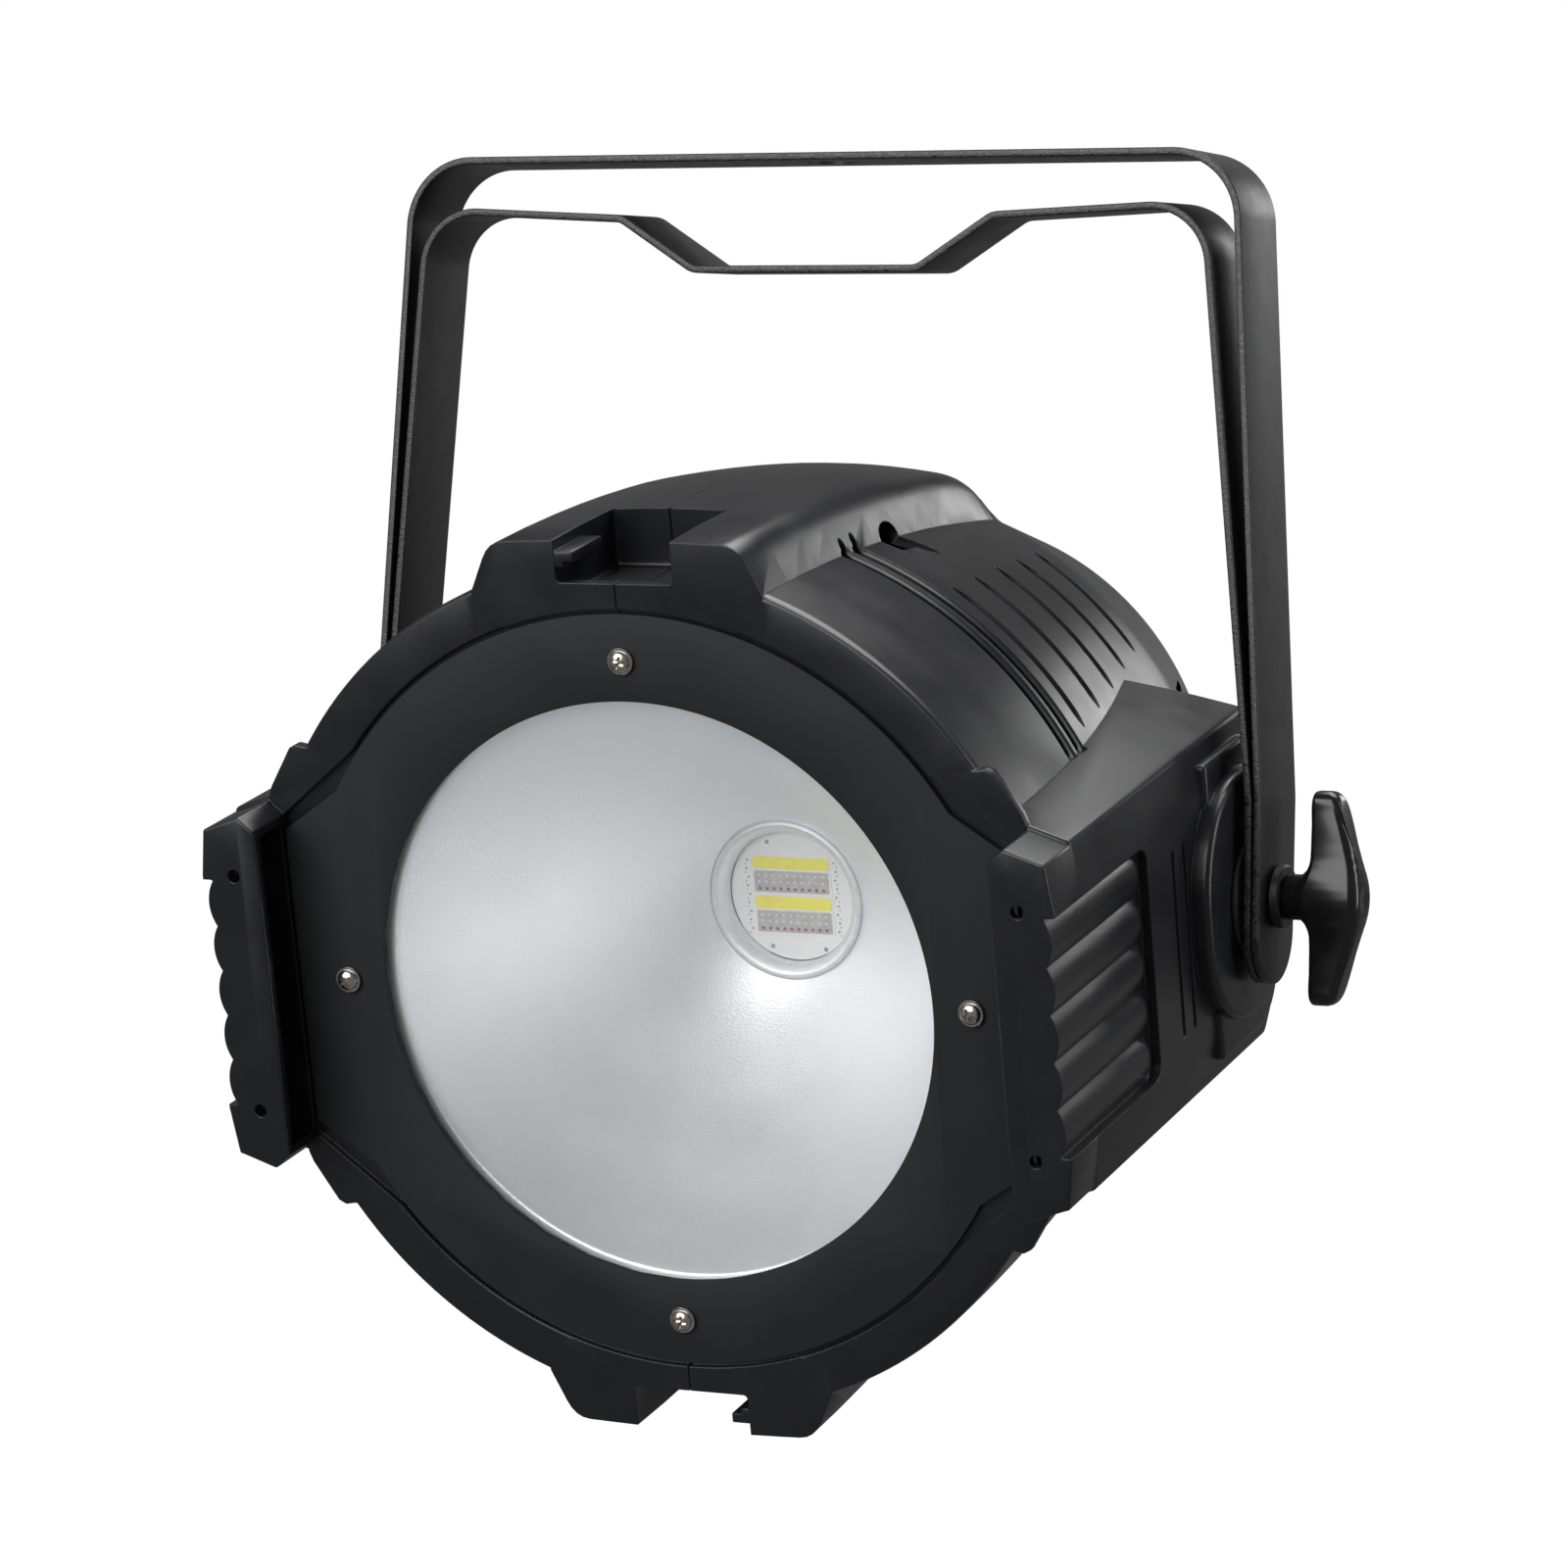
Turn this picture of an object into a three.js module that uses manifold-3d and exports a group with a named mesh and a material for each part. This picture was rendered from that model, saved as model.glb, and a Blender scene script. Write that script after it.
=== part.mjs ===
// A par can light: a round two-part moulded housing with a deep reflector and one LED array,
// held between two nested bent-strip yokes by two clamp knobs.
// Millimetres, +Z up. The origin is the centre of the clamp hole on top of the outer yoke's bar,
// X runs along the tilt axis, and the light shines towards -Y.
import * as THREE from "three";
import { mergeVertices } from "three/addons/utils/BufferGeometryUtils.js";
import Module from "manifold-3d";

// ---------------------------------------------------------------- driving dimensions
const GAP = 0.3; // clearance between pieces that touch

// Head. Its own frame has y = 0 at the front face, y growing to the back.
const PIVOT_DROP = 243; // tilt axis below the top of the outer yoke
const PIVOT_BACK = 132; // tilt axis behind the front face
const HEAD_TILT = 13.8; // degrees, face down
const RING_R = 141; // front ring and barrel
const BARREL_BULGE = 0.000531; // radius lost per millimetre squared of depth
const BARREL_END = 188;
const REAR_R = 93;
const REAR_END = 262;
const WALL = 3;
const ROUND_STEPS = 36;
const ARC_STEPS = 4;

const PLATE_R = 125;
const PLATE_THICK = 2;
const PLATE_GAP = 1.4; // shadow gap round the plate
const PLATE_EAR_X = 128; // the plate's sides run straight here, behind the flanges
const PLATE_EAR_Z = 50;
const PLATE_EAR_ANGLE = 30.7; // degrees from X, where the round edge stops
const RECESS_EAR_Z = 54;
const RECESS_EAR_ANGLE = 38;
const APERTURE_R = 96.6;
const SCREW_CIRCLE_R = 110;
const LENS_R = 104.5;
const SEAT_DEPTH = 7.3; // back of the front wall

const SPINE_HALF_TOP = 43;
const SPINE_HALF_BASE = 50.5;
const SPINE_RISE = 13.3; // height of the spine's edge over the barrel
const SPINE_TURN = 152; // from here the spine rounds down to the barrel
const SPINE_END = 192;
const NOTCH_HALF = 20.5;
const NOTCH_FLOOR = 134.8;
const POCKET_END = 43.5;

const BLOCK_X = 148.5; // outer face of a side block
const BLOCK_EDGE_X = 146.4; // the same at its upper and lower edges
const BLOCK_FLAT_HALF_Z = 40;
const BLOCK_HALF_Z = 56.5;
const BLOCK_SLOPE = 0.33; // rise of the block's shoulder per millimetre inwards
const BLOCK_END = 168;
const BLOCK_CORNER_R = 50;
const FLANGE_Y = -21; // front face of the accessory flanges
const FLANGE_THICK = 3;
const FLANGE_INNER_X = 128;
const CHANNEL_X = 138.3; // outer wall of the accessory channel
const CHANNEL_HALF_Z = 52.5;
const RIB_COUNT = 5; // rounded ribs in a recess on each side block
const RIB_PITCH = 15.2;
const RIB_R = 14.2;
const RIB_TOP = 1.5; // crest of a rib below the block's face
const RIB_RECESS = 3.9;
const RIB_RECESS_HALF_Z = 38.5;
const RIB_RECESS_END = 58;
const PLATEAU_X = 151;
const PLATEAU_START = 109;
const PAD_X = 155;
const PAD_HALF = 39;

// Yokes, as flat strips
const STRIP = 2.5;
const OUTER_HALF_W = 163.5; // outside of the legs at the tilt axis
const OUTER_TOP_HALF_W = 151.5;
const OUTER_WIDTH = 34;
const OUTER_CORNER_R = 23;
const INNER_HALF_W = 160.3;
const INNER_TOP_HALF_W = 143;
const INNER_WIDTH = 32;
const INNER_LEAN = 1.7; // degrees, forwards of the outer yoke
const INNER_DIP = 205.7; // outer side of the dropped middle, above the tilt axis
const INNER_SHOULDER = 226.5;
const LEG_BELOW = 28.7; // rounded end of a leg, below the tilt axis
const LEG_STRAIGHT = 32; // the legs are upright this far above the tilt axis
const CLAMP_HOLE_R = 8;
const STUD_R = 4;

// Rear panel
const PANEL_R = 88.5;
const PANEL_Y = 256.3;
const PANEL_THICK = 2.5;
const PANEL_BACK = PANEL_Y + PANEL_THICK;
const REAR_SCREW_CIRCLE_R = 82;
const GUARD_R = 34;
const BUTTON_R = 3.6;
const BUTTON_Z = 46;
const BUTTON_PITCH = 14;
const SOCKET_W = 26;
const SOCKET_H = 31;

// Fan
const FAN_SIZE = 92;
const FAN_Y = 190.6;
const FAN_DEPTH = 25;
const FAN_R = 44;

const wasm = await Module();
wasm.setup();

// ---------------------------------------------------------------- geometry helpers

// A closed triangle surface as a solid, turned so that its faces point outwards.
function solid(geometry) {
  geometry.deleteAttribute("normal");
  geometry.deleteAttribute("uv");
  const merged = mergeVertices(geometry, 1e-4);
  const vertProperties = merged.attributes.position.array;
  const triVerts = new Uint32Array(merged.index.array);
  const corner = (i) => new THREE.Vector3().fromArray(vertProperties, 3 * triVerts[i]);
  let volume = 0;
  for (let i = 0; i < triVerts.length; i += 3) {
    volume += corner(i).dot(corner(i + 1).cross(corner(i + 2)));
  }
  if (volume < 0) triVerts.reverse();
  return new wasm.Manifold(new wasm.Mesh({ numProp: 3, vertProperties, triVerts }));
}

function box(x0, x1, y0, y1, z0, z1) {
  const g = new THREE.BoxGeometry(x1 - x0, y1 - y0, z1 - z0);
  return solid(g.translate((x0 + x1) / 2, (y0 + y1) / 2, (z0 + z1) / 2));
}

// Round rods along each axis: radius, from, to, and the centre on the other two axes.
function rodY(r, y0, y1, x, z, steps = 10) {
  const g = new THREE.CylinderGeometry(r, r, y1 - y0, steps);
  return solid(g.translate(x, (y0 + y1) / 2, z));
}

function rodX(r, x0, x1, y, z, steps = 10) {
  const g = new THREE.CylinderGeometry(r, r, x1 - x0, steps);
  return solid(g.rotateZ(-Math.PI / 2).translate((x0 + x1) / 2, y, z));
}

function rodZ(r, z0, z1, x, y, steps = 12) {
  const g = new THREE.CylinderGeometry(r, r, z1 - z0, steps);
  return solid(g.rotateX(Math.PI / 2).translate(x, y, (z0 + z1) / 2));
}

// A turned solid round the Y axis, from a closed list of [radius, y].
function turned(profile, steps = ROUND_STEPS) {
  const points = profile.map(([r, y]) => new THREE.Vector2(r, y));
  const onAxis = profile[0][0] === 0 && profile.at(-1)[0] === 0;
  if (!onAxis) points.push(points[0].clone());
  return solid(new THREE.LatheGeometry(points, steps));
}

function shapeOf(points) {
  return new THREE.Shape(points.map(([a, b]) => new THREE.Vector2(a, b)));
}

// An outline in X and Z, pushed along Y.
function prismY(outline, y0, y1) {
  const shape = outline instanceof THREE.Shape ? outline : shapeOf(outline);
  const g = new THREE.ExtrudeGeometry(shape, {
    depth: y1 - y0, bevelEnabled: false, curveSegments: ARC_STEPS,
  });
  return solid(g.rotateX(Math.PI / 2).translate(0, y1, 0));
}

// An outline in Y and Z, pushed along X.
function prismX(outline, x0, x1) {
  const shape = outline instanceof THREE.Shape ? outline : shapeOf(outline);
  const g = new THREE.ExtrudeGeometry(shape, {
    depth: x1 - x0, bevelEnabled: false, curveSegments: ARC_STEPS,
  });
  g.applyMatrix4(new THREE.Matrix4().set(0, 0, 1, x0, 1, 0, 0, 0, 0, 1, 0, 0, 0, 0, 0, 1));
  return solid(g);
}

function unite(pieces) {
  return pieces.reduce((all, piece) => all.add(piece));
}

function cut(body, pieces) {
  return pieces.reduce((all, piece) => all.subtract(piece), body);
}

function range(count) {
  return [...Array(count).keys()];
}

// A rounded rectangle centred on a point.
function roundedRect(cx, cy, halfX, halfY, r) {
  const shape = new THREE.Shape();
  shape.moveTo(cx + halfX, cy - halfY + r);
  shape.lineTo(cx + halfX, cy + halfY - r);
  shape.absarc(cx + halfX - r, cy + halfY - r, r, 0, Math.PI / 2);
  shape.absarc(cx - halfX + r, cy + halfY - r, r, Math.PI / 2, Math.PI);
  shape.absarc(cx - halfX + r, cy - halfY + r, r, Math.PI, 1.5 * Math.PI);
  shape.absarc(cx + halfX - r, cy - halfY + r, r, 1.5 * Math.PI, 2 * Math.PI);
  return shape;
}

// A skin through a row of equal outlines, closed at both ends.
function loft(sections) {
  const count = sections[0].length;
  const positions = sections.flat().flat();
  const index = [];
  for (let s = 0; s + 1 < sections.length; s++) {
    for (const i of range(count)) {
      const a = s * count + i;
      const b = s * count + ((i + 1) % count);
      index.push(a, b, b + count, a, b + count, a + count);
    }
  }
  const cap = THREE.ShapeUtils.triangulateShape(
    sections[0].map(([x, , z]) => new THREE.Vector2(x, z)), [],
  );
  const last = (sections.length - 1) * count;
  for (const [a, b, c] of cap) {
    index.push(c, b, a);
    index.push(last + a, last + b, last + c);
  }
  const g = new THREE.BufferGeometry();
  g.setAttribute("position", new THREE.Float32BufferAttribute(positions, 3));
  g.setIndex(index);
  return solid(g);
}

// ---------------------------------------------------------------- finishes
const finish = (color, roughness, metalness = 0) =>
  new THREE.MeshStandardMaterial({ color, roughness, metalness });

const HOUSING = finish(0x242529, 0.42);
const BLACK_PAINT = finish(0x1a1b1e, 0.5, 0.2);
const KNOB_BLACK = finish(0x0c0c0d, 0.18);
const STEEL = finish(0x8a8c90, 0.3, 1);
const ALUMINIUM = finish(0xc9ccd0, 0.35, 1);
const GLASS = new THREE.MeshStandardMaterial({
  color: 0xf2f7f7, roughness: 0.03, transparent: true, opacity: 0.2,
});
const RUBBER = finish(0x141414, 0.8);
const WHITE = finish(0xe9e9e4, 0.5);
const BOARD = finish(0x1f5a35, 0.5);
const NYLON = finish(0x101012, 0.45);
const DISPLAY = finish(0x2b0d0d, 0.15);

const root = new THREE.Group();
const head = new THREE.Group();
head.position.set(0, 0, -PIVOT_DROP);
head.rotation.x = THREE.MathUtils.degToRad(HEAD_TILT);
root.add(head);
const optics = new THREE.Group(); // front-face frame, inside the tilting head
optics.position.y = -PIVOT_BACK;
head.add(optics);
const innerFrame = new THREE.Group();
innerFrame.position.set(0, 0, -PIVOT_DROP);
innerFrame.rotation.x = THREE.MathUtils.degToRad(INNER_LEAN);
root.add(innerFrame);
const outerFrame = new THREE.Group();
outerFrame.position.set(0, 0, -PIVOT_DROP);
root.add(outerFrame);

function addPiece(parent, name, body, material) {
  const mesh = body.getMesh();
  const g = new THREE.BufferGeometry();
  g.setAttribute("position", new THREE.BufferAttribute(mesh.vertProperties, 3));
  g.setIndex(new THREE.BufferAttribute(mesh.triVerts, 1));
  g.computeVertexNormals();
  const piece = new THREE.Mesh(g, material);
  piece.name = name;
  parent.add(piece);
  return piece;
}

// ---------------------------------------------------------------- yokes

// A bent strip: half its thickness to both sides of a line in X and Z, pushed across its width.
function bentStrip(line, width) {
  const half = STRIP / 2;
  const end = line.length - 1;
  const sides = [half, -half].map((offset) =>
    line.map((p, i) => {
      const before = line[Math.max(i - 1, 0)];
      const after = line[Math.min(i + 1, end)];
      const a = p.clone().sub(before).normalize();
      const b = after.clone().sub(p).normalize();
      const along = a.clone().add(b).normalize();
      const stretch = i > 0 && i < end ? 1 / Math.max(along.dot(b), 0.5) : 1;
      return [p.x - along.y * offset * stretch, p.y + along.x * offset * stretch];
    }),
  );
  return prismY([...sides[0], ...sides[1].reverse()], -width / 2, width / 2);
}

// A polyline with each inner corner replaced by an arc.
function roundedLine(corners) {
  const line = [new THREE.Vector2(...corners[0])];
  for (let i = 1; i + 1 < corners.length; i++) {
    const [x, z, r] = corners[i];
    const p = new THREE.Vector2(x, z);
    const a = new THREE.Vector2(...corners[i - 1].slice(0, 2)).sub(p).normalize();
    const b = new THREE.Vector2(...corners[i + 1].slice(0, 2)).sub(p).normalize();
    const turn = Math.acos(THREE.MathUtils.clamp(a.dot(b), -1, 1));
    const reach = r / Math.tan(turn / 2);
    const start = p.clone().addScaledVector(a, reach);
    const end = p.clone().addScaledVector(b, reach);
    const steps = Math.max(2, Math.ceil((Math.PI - turn) / 0.4));
    const centre = p.clone().addScaledVector(a.clone().add(b).normalize(), r / Math.sin(turn / 2));
    const from = start.clone().sub(centre).angle();
    let sweep = end.clone().sub(centre).angle() - from;
    if (sweep > Math.PI) sweep -= 2 * Math.PI;
    if (sweep < -Math.PI) sweep += 2 * Math.PI;
    for (const k of range(steps + 1)) {
      const angle = from + (sweep * k) / steps;
      line.push(new THREE.Vector2(Math.cos(angle), Math.sin(angle)).multiplyScalar(r).add(centre));
    }
  }
  line.push(new THREE.Vector2(...corners.at(-1).slice(0, 2)));
  return line;
}

// Rounds the legs' lower ends and drills the tilt holes.
function finishLegs(strip, width) {
  const half = width / 2;
  const side = new THREE.Shape();
  side.moveTo(half, PIVOT_DROP + 10);
  side.lineTo(-half, PIVOT_DROP + 10);
  side.lineTo(-half, half - LEG_BELOW);
  side.absarc(0, half - LEG_BELOW, half, Math.PI, 2 * Math.PI);
  const rounded = strip.intersect(prismX(side, -200, 200));
  return rounded.subtract(rodX(STUD_R + 0.6, -200, 200, 0, 0));
}

function outerYoke() {
  const x0 = OUTER_HALF_W - STRIP / 2;
  const x1 = OUTER_TOP_HALF_W - STRIP / 2;
  const top = PIVOT_DROP - STRIP / 2;
  const line = roundedLine([
    [x0, -LEG_BELOW - 1], [x0, LEG_STRAIGHT, 60], [x1, top, OUTER_CORNER_R],
    [-x1, top, OUTER_CORNER_R], [-x0, LEG_STRAIGHT, 60], [-x0, -LEG_BELOW - 1],
  ]);
  const strip = finishLegs(bentStrip(line, OUTER_WIDTH), OUTER_WIDTH);
  return strip.subtract(rodZ(CLAMP_HOLE_R, top - 5, top + 5, 0, 0, 16));
}

function innerYoke() {
  const x0 = INNER_HALF_W - STRIP / 2;
  const x1 = INNER_TOP_HALF_W - STRIP / 2;
  const dip = INNER_DIP - STRIP / 2;
  const shoulder = INNER_SHOULDER - STRIP / 2;
  const right = [
    [x0, -LEG_BELOW - 1], [x0, LEG_STRAIGHT, 60], [x1, shoulder, 20],
    [68, shoulder - 3.5, 8], [41, dip, 8],
  ];
  const left = right.map(([x, ...rest]) => [-x, ...rest]).reverse();
  const strip = finishLegs(bentStrip(roundedLine([...right, ...left]), INNER_WIDTH), INNER_WIDTH);
  return strip.subtract(rodZ(CLAMP_HOLE_R, dip - 5, dip + 5, 0, 0, 16));
}

addPiece(outerFrame, "outer_yoke", outerYoke(), BLACK_PAINT);
addPiece(innerFrame, "inner_yoke", innerYoke(), BLACK_PAINT);

// ---------------------------------------------------------------- housing halves

function barrelR(y) {
  if (y <= BARREL_END) return RING_R - BARREL_BULGE * y * y;
  const start = RING_R - BARREL_BULGE * BARREL_END * BARREL_END;
  return THREE.MathUtils.mapLinear(y, BARREL_END, REAR_END, start, REAR_R);
}

const BARREL_STATIONS = [12, 60, 105, 150, BARREL_END, REAR_END - 2];

// Wall of the round barrel, with the front wall that seats plate and lens,
// and the ledge for the rear panel.
function barrelWall() {
  const ledge = PANEL_Y - GAP;
  const outside = BARREL_STATIONS.map((y) => [barrelR(y), y]);
  const inside = BARREL_STATIONS.slice(0, -1).map((y) => [barrelR(y) - WALL, y]).reverse();
  return turned([
    [PLATE_R + PLATE_GAP, 0], [RING_R - 1.2, 0], [RING_R, 1.2],
    ...outside, [REAR_R - 2, REAR_END], [PANEL_R + 0.6, REAR_END],
    [PANEL_R + 0.6, ledge], [PANEL_R - 8, ledge], [PANEL_R - 8, ledge - 3],
    [barrelR(ledge - 3) - WALL, ledge - 3],
    ...inside, [RING_R - WALL, SEAT_DEPTH], [LENS_R + 0.5, SEAT_DEPTH],
    [LENS_R + 0.5, PLATE_THICK + GAP], [PLATE_R + PLATE_GAP, PLATE_THICK + GAP],
  ]);
}

// Raised spine along the top of the barrel, `grow` larger than its surface all round.
function spine(grow, y0, y1) {
  const between = [60, 105, SPINE_TURN, 166, 177, 185, 189.5].filter((y) => y > y0 && y < y1);
  return loft([y0, ...between, y1].map((y) => {
    const r = barrelR(y);
    const turned = Math.max(0, y - SPINE_TURN) / (SPINE_END - SPINE_TURN);
    const fade = Math.sqrt(1 - turned * turned);
    const edge = Math.sqrt(r * r - SPINE_HALF_TOP ** 2) + SPINE_RISE * fade + grow;
    const crown = edge + (2 + 0.02 * y) * fade;
    const foot = Math.sqrt(r * r - SPINE_HALF_BASE ** 2) + grow;
    const low = Math.sqrt((r - WALL - 8) ** 2 - SPINE_HALF_BASE ** 2);
    const right = [
      [SPINE_HALF_BASE + grow, low], [SPINE_HALF_BASE + grow, foot], [SPINE_HALF_TOP + grow, edge],
      [0.5 * SPINE_HALF_TOP, edge + 0.75 * (crown - edge)],
    ];
    const left = right.map(([x, z]) => [-x, z]).reverse();
    return [...right, [0, crown], ...left].map(([x, z]) => [x, y, z]);
  }));
}

function blockOutline(inset) {
  const x = BLOCK_X - inset;
  const edge = BLOCK_EDGE_X - inset;
  const z = BLOCK_HALF_Z - inset;
  const flat = BLOCK_FLAT_HALF_Z - inset;
  const inner = 80;
  const rise = z + BLOCK_SLOPE * (edge - inner);
  return [[inner, -rise], [edge, -z], [x, -flat], [x, flat], [edge, z], [inner, rise]];
}

// Side view of a block: square at the front, rounded at the back.
function blockSide(y0, inset) {
  const top = BLOCK_HALF_Z + 19.5 - inset;
  const r = BLOCK_CORNER_R - inset;
  const end = BLOCK_END - inset;
  const shape = new THREE.Shape();
  shape.moveTo(y0, -top);
  shape.lineTo(end - r, -top);
  shape.absarc(end - r, r - top, r, 1.5 * Math.PI, 2 * Math.PI);
  shape.absarc(end - r, top - r, r, 0, 0.5 * Math.PI);
  shape.lineTo(y0, top);
  return shape;
}

function blockSolid(y0, inset) {
  return prismY(blockOutline(inset), y0, BLOCK_END).intersect(prismX(blockSide(y0, inset), 70, 160));
}

// Accessory flange: the front lip of a side block.
function flangeSolid() {
  const z = BLOCK_HALF_Z;
  const upper = [
    [BLOCK_X, BLOCK_FLAT_HALF_Z], [BLOCK_EDGE_X, z], [FLANGE_INNER_X + 6, z + 3.5],
    [FLANGE_INNER_X, z - 2],
  ];
  const lower = upper.map(([x, zz]) => [x, -zz]).reverse();
  return prismY([...lower, ...upper], FLANGE_Y, 1);
}

// Round above and below, with straight ears at the sides.
function earedOutline(r, x, z, angle) {
  const a = THREE.MathUtils.degToRad(angle);
  const shape = new THREE.Shape();
  shape.absarc(0, 0, r, a, Math.PI - a);
  shape.lineTo(-x, z);
  shape.lineTo(-x, -z);
  shape.absarc(0, 0, r, Math.PI + a, 2 * Math.PI - a);
  shape.lineTo(x, -z);
  shape.lineTo(x, z);
  return shape;
}

// The front ring steps out a little beside each end of a flange.
function cheek() {
  return prismY([[104, 78], [121.5, 78], [124, 76.5], [133, 60.5], [128, 50], [108, 50]], 0, 4);
}

// A slot through the barrel wall at depth y, between two angles from the top.
function arcSlot(y, width, from, to) {
  const a = THREE.MathUtils.degToRad(90 - to);
  const b = THREE.MathUtils.degToRad(90 - from);
  const shape = new THREE.Shape();
  shape.absarc(0, 0, RING_R + 12, a, b);
  shape.absarc(0, 0, RING_R - 16, b, a, true);
  return prismY(shape, y - width / 2, y + width / 2);
}

// The vents of one quadrant: two long slots round the barrel.
function quadrantVents() {
  return [65, 74].map((y) => arcSlot(y, 3.4, 20, 61.5));
}

// Short slots round the rear cone, behind the side block.
function rearVents() {
  return range(5).map((i) => {
    const angle = THREE.MathUtils.degToRad(-24 + 12 * i);
    const g = new THREE.BoxGeometry(40, 30, 3.6).translate(110, 222, 0).rotateY(angle);
    return solid(g);
  });
}

// The right half of the housing. Its lower side repeats its upper side, but for the latch tab.
function rightHalf() {
  const mirrorZ = (body) => body.mirror([0, 0, 1]);
  const topSpine = spine(0, 0, SPINE_END);
  const spineHollow = spine(-WALL, SEAT_DEPTH, SPINE_END - 3 * WALL);
  const pocketLiner = box(-NOTCH_HALF - 3, NOTCH_HALF + 3, 1, POCKET_END + 3, 126, 145);
  const pocket = unite([
    box(-NOTCH_HALF, NOTCH_HALF, -1, POCKET_END, NOTCH_FLOOR, 170),
    box(-NOTCH_HALF, NOTCH_HALF, 15, POCKET_END, 129, 170),
  ]);
  const pad = prismX(roundedRect(PIVOT_BACK, 1, PAD_HALF, PAD_HALF + 2, 28), 120, PAD_X);
  const plateau = prismX(
    roundedRect((PLATEAU_START + BLOCK_END) / 2, 0, (BLOCK_END - PLATEAU_START) / 2, 52, 22),
    120, PLATEAU_X,
  ).subtract(box(100, 160, 80, PLATEAU_START, -80, 80));
  const side = unite([blockSolid(0.5, 0), flangeSolid(), cheek(), mirrorZ(cheek()), plateau, pad]);

  const barrel = barrelWall();
  // Spine and side block are cleared to the middle of the barrel's wall before it joins them.
  const mid = WALL / 2;
  const bore = turned([
    [0, mid], [RING_R - mid, mid],
    ...BARREL_STATIONS.slice(0, -1).map((y) => [barrelR(y) - mid, y]),
    [REAR_R - mid, REAR_END - mid], [0, REAR_END - mid],
  ]);
  const blockHollow = blockSolid(SEAT_DEPTH, 4.5).subtract(
    box(CHANNEL_X, BLOCK_X, 0, RIB_RECESS_END + 4, -80, 80),
  );

  const ribs = range(RIB_COUNT).map((i) => {
    const z = RIB_PITCH * (i - (RIB_COUNT - 1) / 2);
    return rodY(RIB_R, FLANGE_Y - 2, RIB_RECESS_END - 3, BLOCK_X - RIB_TOP - RIB_R, z, 32);
  });
  const ribRecess = cut(
    box(BLOCK_X - RIB_RECESS, BLOCK_X + 1, FLANGE_Y - 1, RIB_RECESS_END,
      -RIB_RECESS_HALF_Z, RIB_RECESS_HALF_Z),
    ribs,
  );
  const channel = box(100, CHANNEL_X, FLANGE_Y + FLANGE_THICK, 0, -CHANNEL_HALF_Z, CHANNEL_HALF_Z);
  const flangeHoles = [-40, 40].map((z) => rodY(2.2, FLANGE_Y - 1, FLANGE_Y + 5, 134.5, z, 12));
  const recess = earedOutline(
    PLATE_R + PLATE_GAP, PLATE_EAR_X + PLATE_GAP, RECESS_EAR_Z, RECESS_EAR_ANGLE,
  );
  const plateRecess = prismY(recess, -0.01, PLATE_THICK + GAP);

  let body = unite([topSpine, mirrorZ(topSpine), side]);
  body = cut(body, [bore, spineHollow, mirrorZ(spineHollow), blockHollow]);
  body = unite([body, barrel, pocketLiner, mirrorZ(pocketLiner)]);
  body = cut(body, [blockHollow, pocket, mirrorZ(pocket), channel, plateRecess, ribRecess]);
  const plateScrews = screwPlaces().map(([x, z]) => rodY(2.3, 0, SEAT_DEPTH + 1, x, z, 8));
  const panelScrews = rearScrewPlaces().map(([x, z]) => rodY(1.9, 240, PANEL_Y, x, z, 6));
  body = cut(body, [...flangeHoles, ...rearVents(), ...plateScrews, ...panelScrews]);
  for (const vent of quadrantVents()) body = cut(body, [vent, mirrorZ(vent)]);
  body = body.subtract(rodX(8.8, 110, 170, PIVOT_BACK, 0));

  // The latch tab beside one end of the split line.
  const tab = box(NOTCH_HALF - 6.6, NOTCH_HALF + 1, 0, 22, -144.5, -139.5);
  body = body.add(tab);
  for (const upper of [true, false]) {
    body = shellScrewHole(body, upper);
  }
  return body.subtract(box(-400, 0.2, -100, 400, -400, 400));
}

// Screw through the spine's flank, across the split line.
const SHELL_SCREW_Y = 99;
const SHELL_SCREW_Z = 124;

function shellScrewHole(body, upper) {
  const z = upper ? SHELL_SCREW_Z : -SHELL_SCREW_Z;
  const boss = rodX(6.5, 0.2, 40, SHELL_SCREW_Y, z, 12);
  return body.add(boss).subtract(rodX(4.6, 22, 90, SHELL_SCREW_Y, z, 12))
    .subtract(rodX(2.4, -1, 90, SHELL_SCREW_Y, z, 8));
}

// The four front screws, clockwise from the top.
function screwPlaces() {
  return range(4).map((i) => {
    const angle = (i * Math.PI) / 2;
    return [SCREW_CIRCLE_R * Math.sin(angle), SCREW_CIRCLE_R * Math.cos(angle)];
  });
}

// The four rear panel screws, at the diagonals.
function rearScrewPlaces() {
  return range(4).map((i) => {
    const angle = Math.PI / 4 + (i * Math.PI) / 2;
    return [REAR_SCREW_CIRCLE_R * Math.sin(angle), REAR_SCREW_CIRCLE_R * Math.cos(angle)];
  });
}

const right = rightHalf();
const half = addPiece(optics, "right_shell", right, HOUSING);
const leftTurn = new THREE.Group(); // the left half is the same moulding, turned half a turn
leftTurn.rotation.y = Math.PI;
optics.add(leftTurn);
const leftHalf = new THREE.Mesh(half.geometry, HOUSING);
leftHalf.name = "left_shell";
leftTurn.add(leftHalf);

function shellScrew() {
  const shank = rodX(2.1, -18, 24.5, 0, 0, 10);
  return shank.add(rodX(4.1, 22.4, 25.4, 0, 0, 16));
}

for (const [name, turn, z] of [
  ["shell_screw_top", optics, SHELL_SCREW_Z], ["shell_screw_bottom", leftTurn, SHELL_SCREW_Z],
]) {
  const screw = addPiece(turn, name, shellScrew(), STEEL);
  screw.position.set(0, SHELL_SCREW_Y, z);
}

// ---------------------------------------------------------------- front: plate, screws, lens

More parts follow.
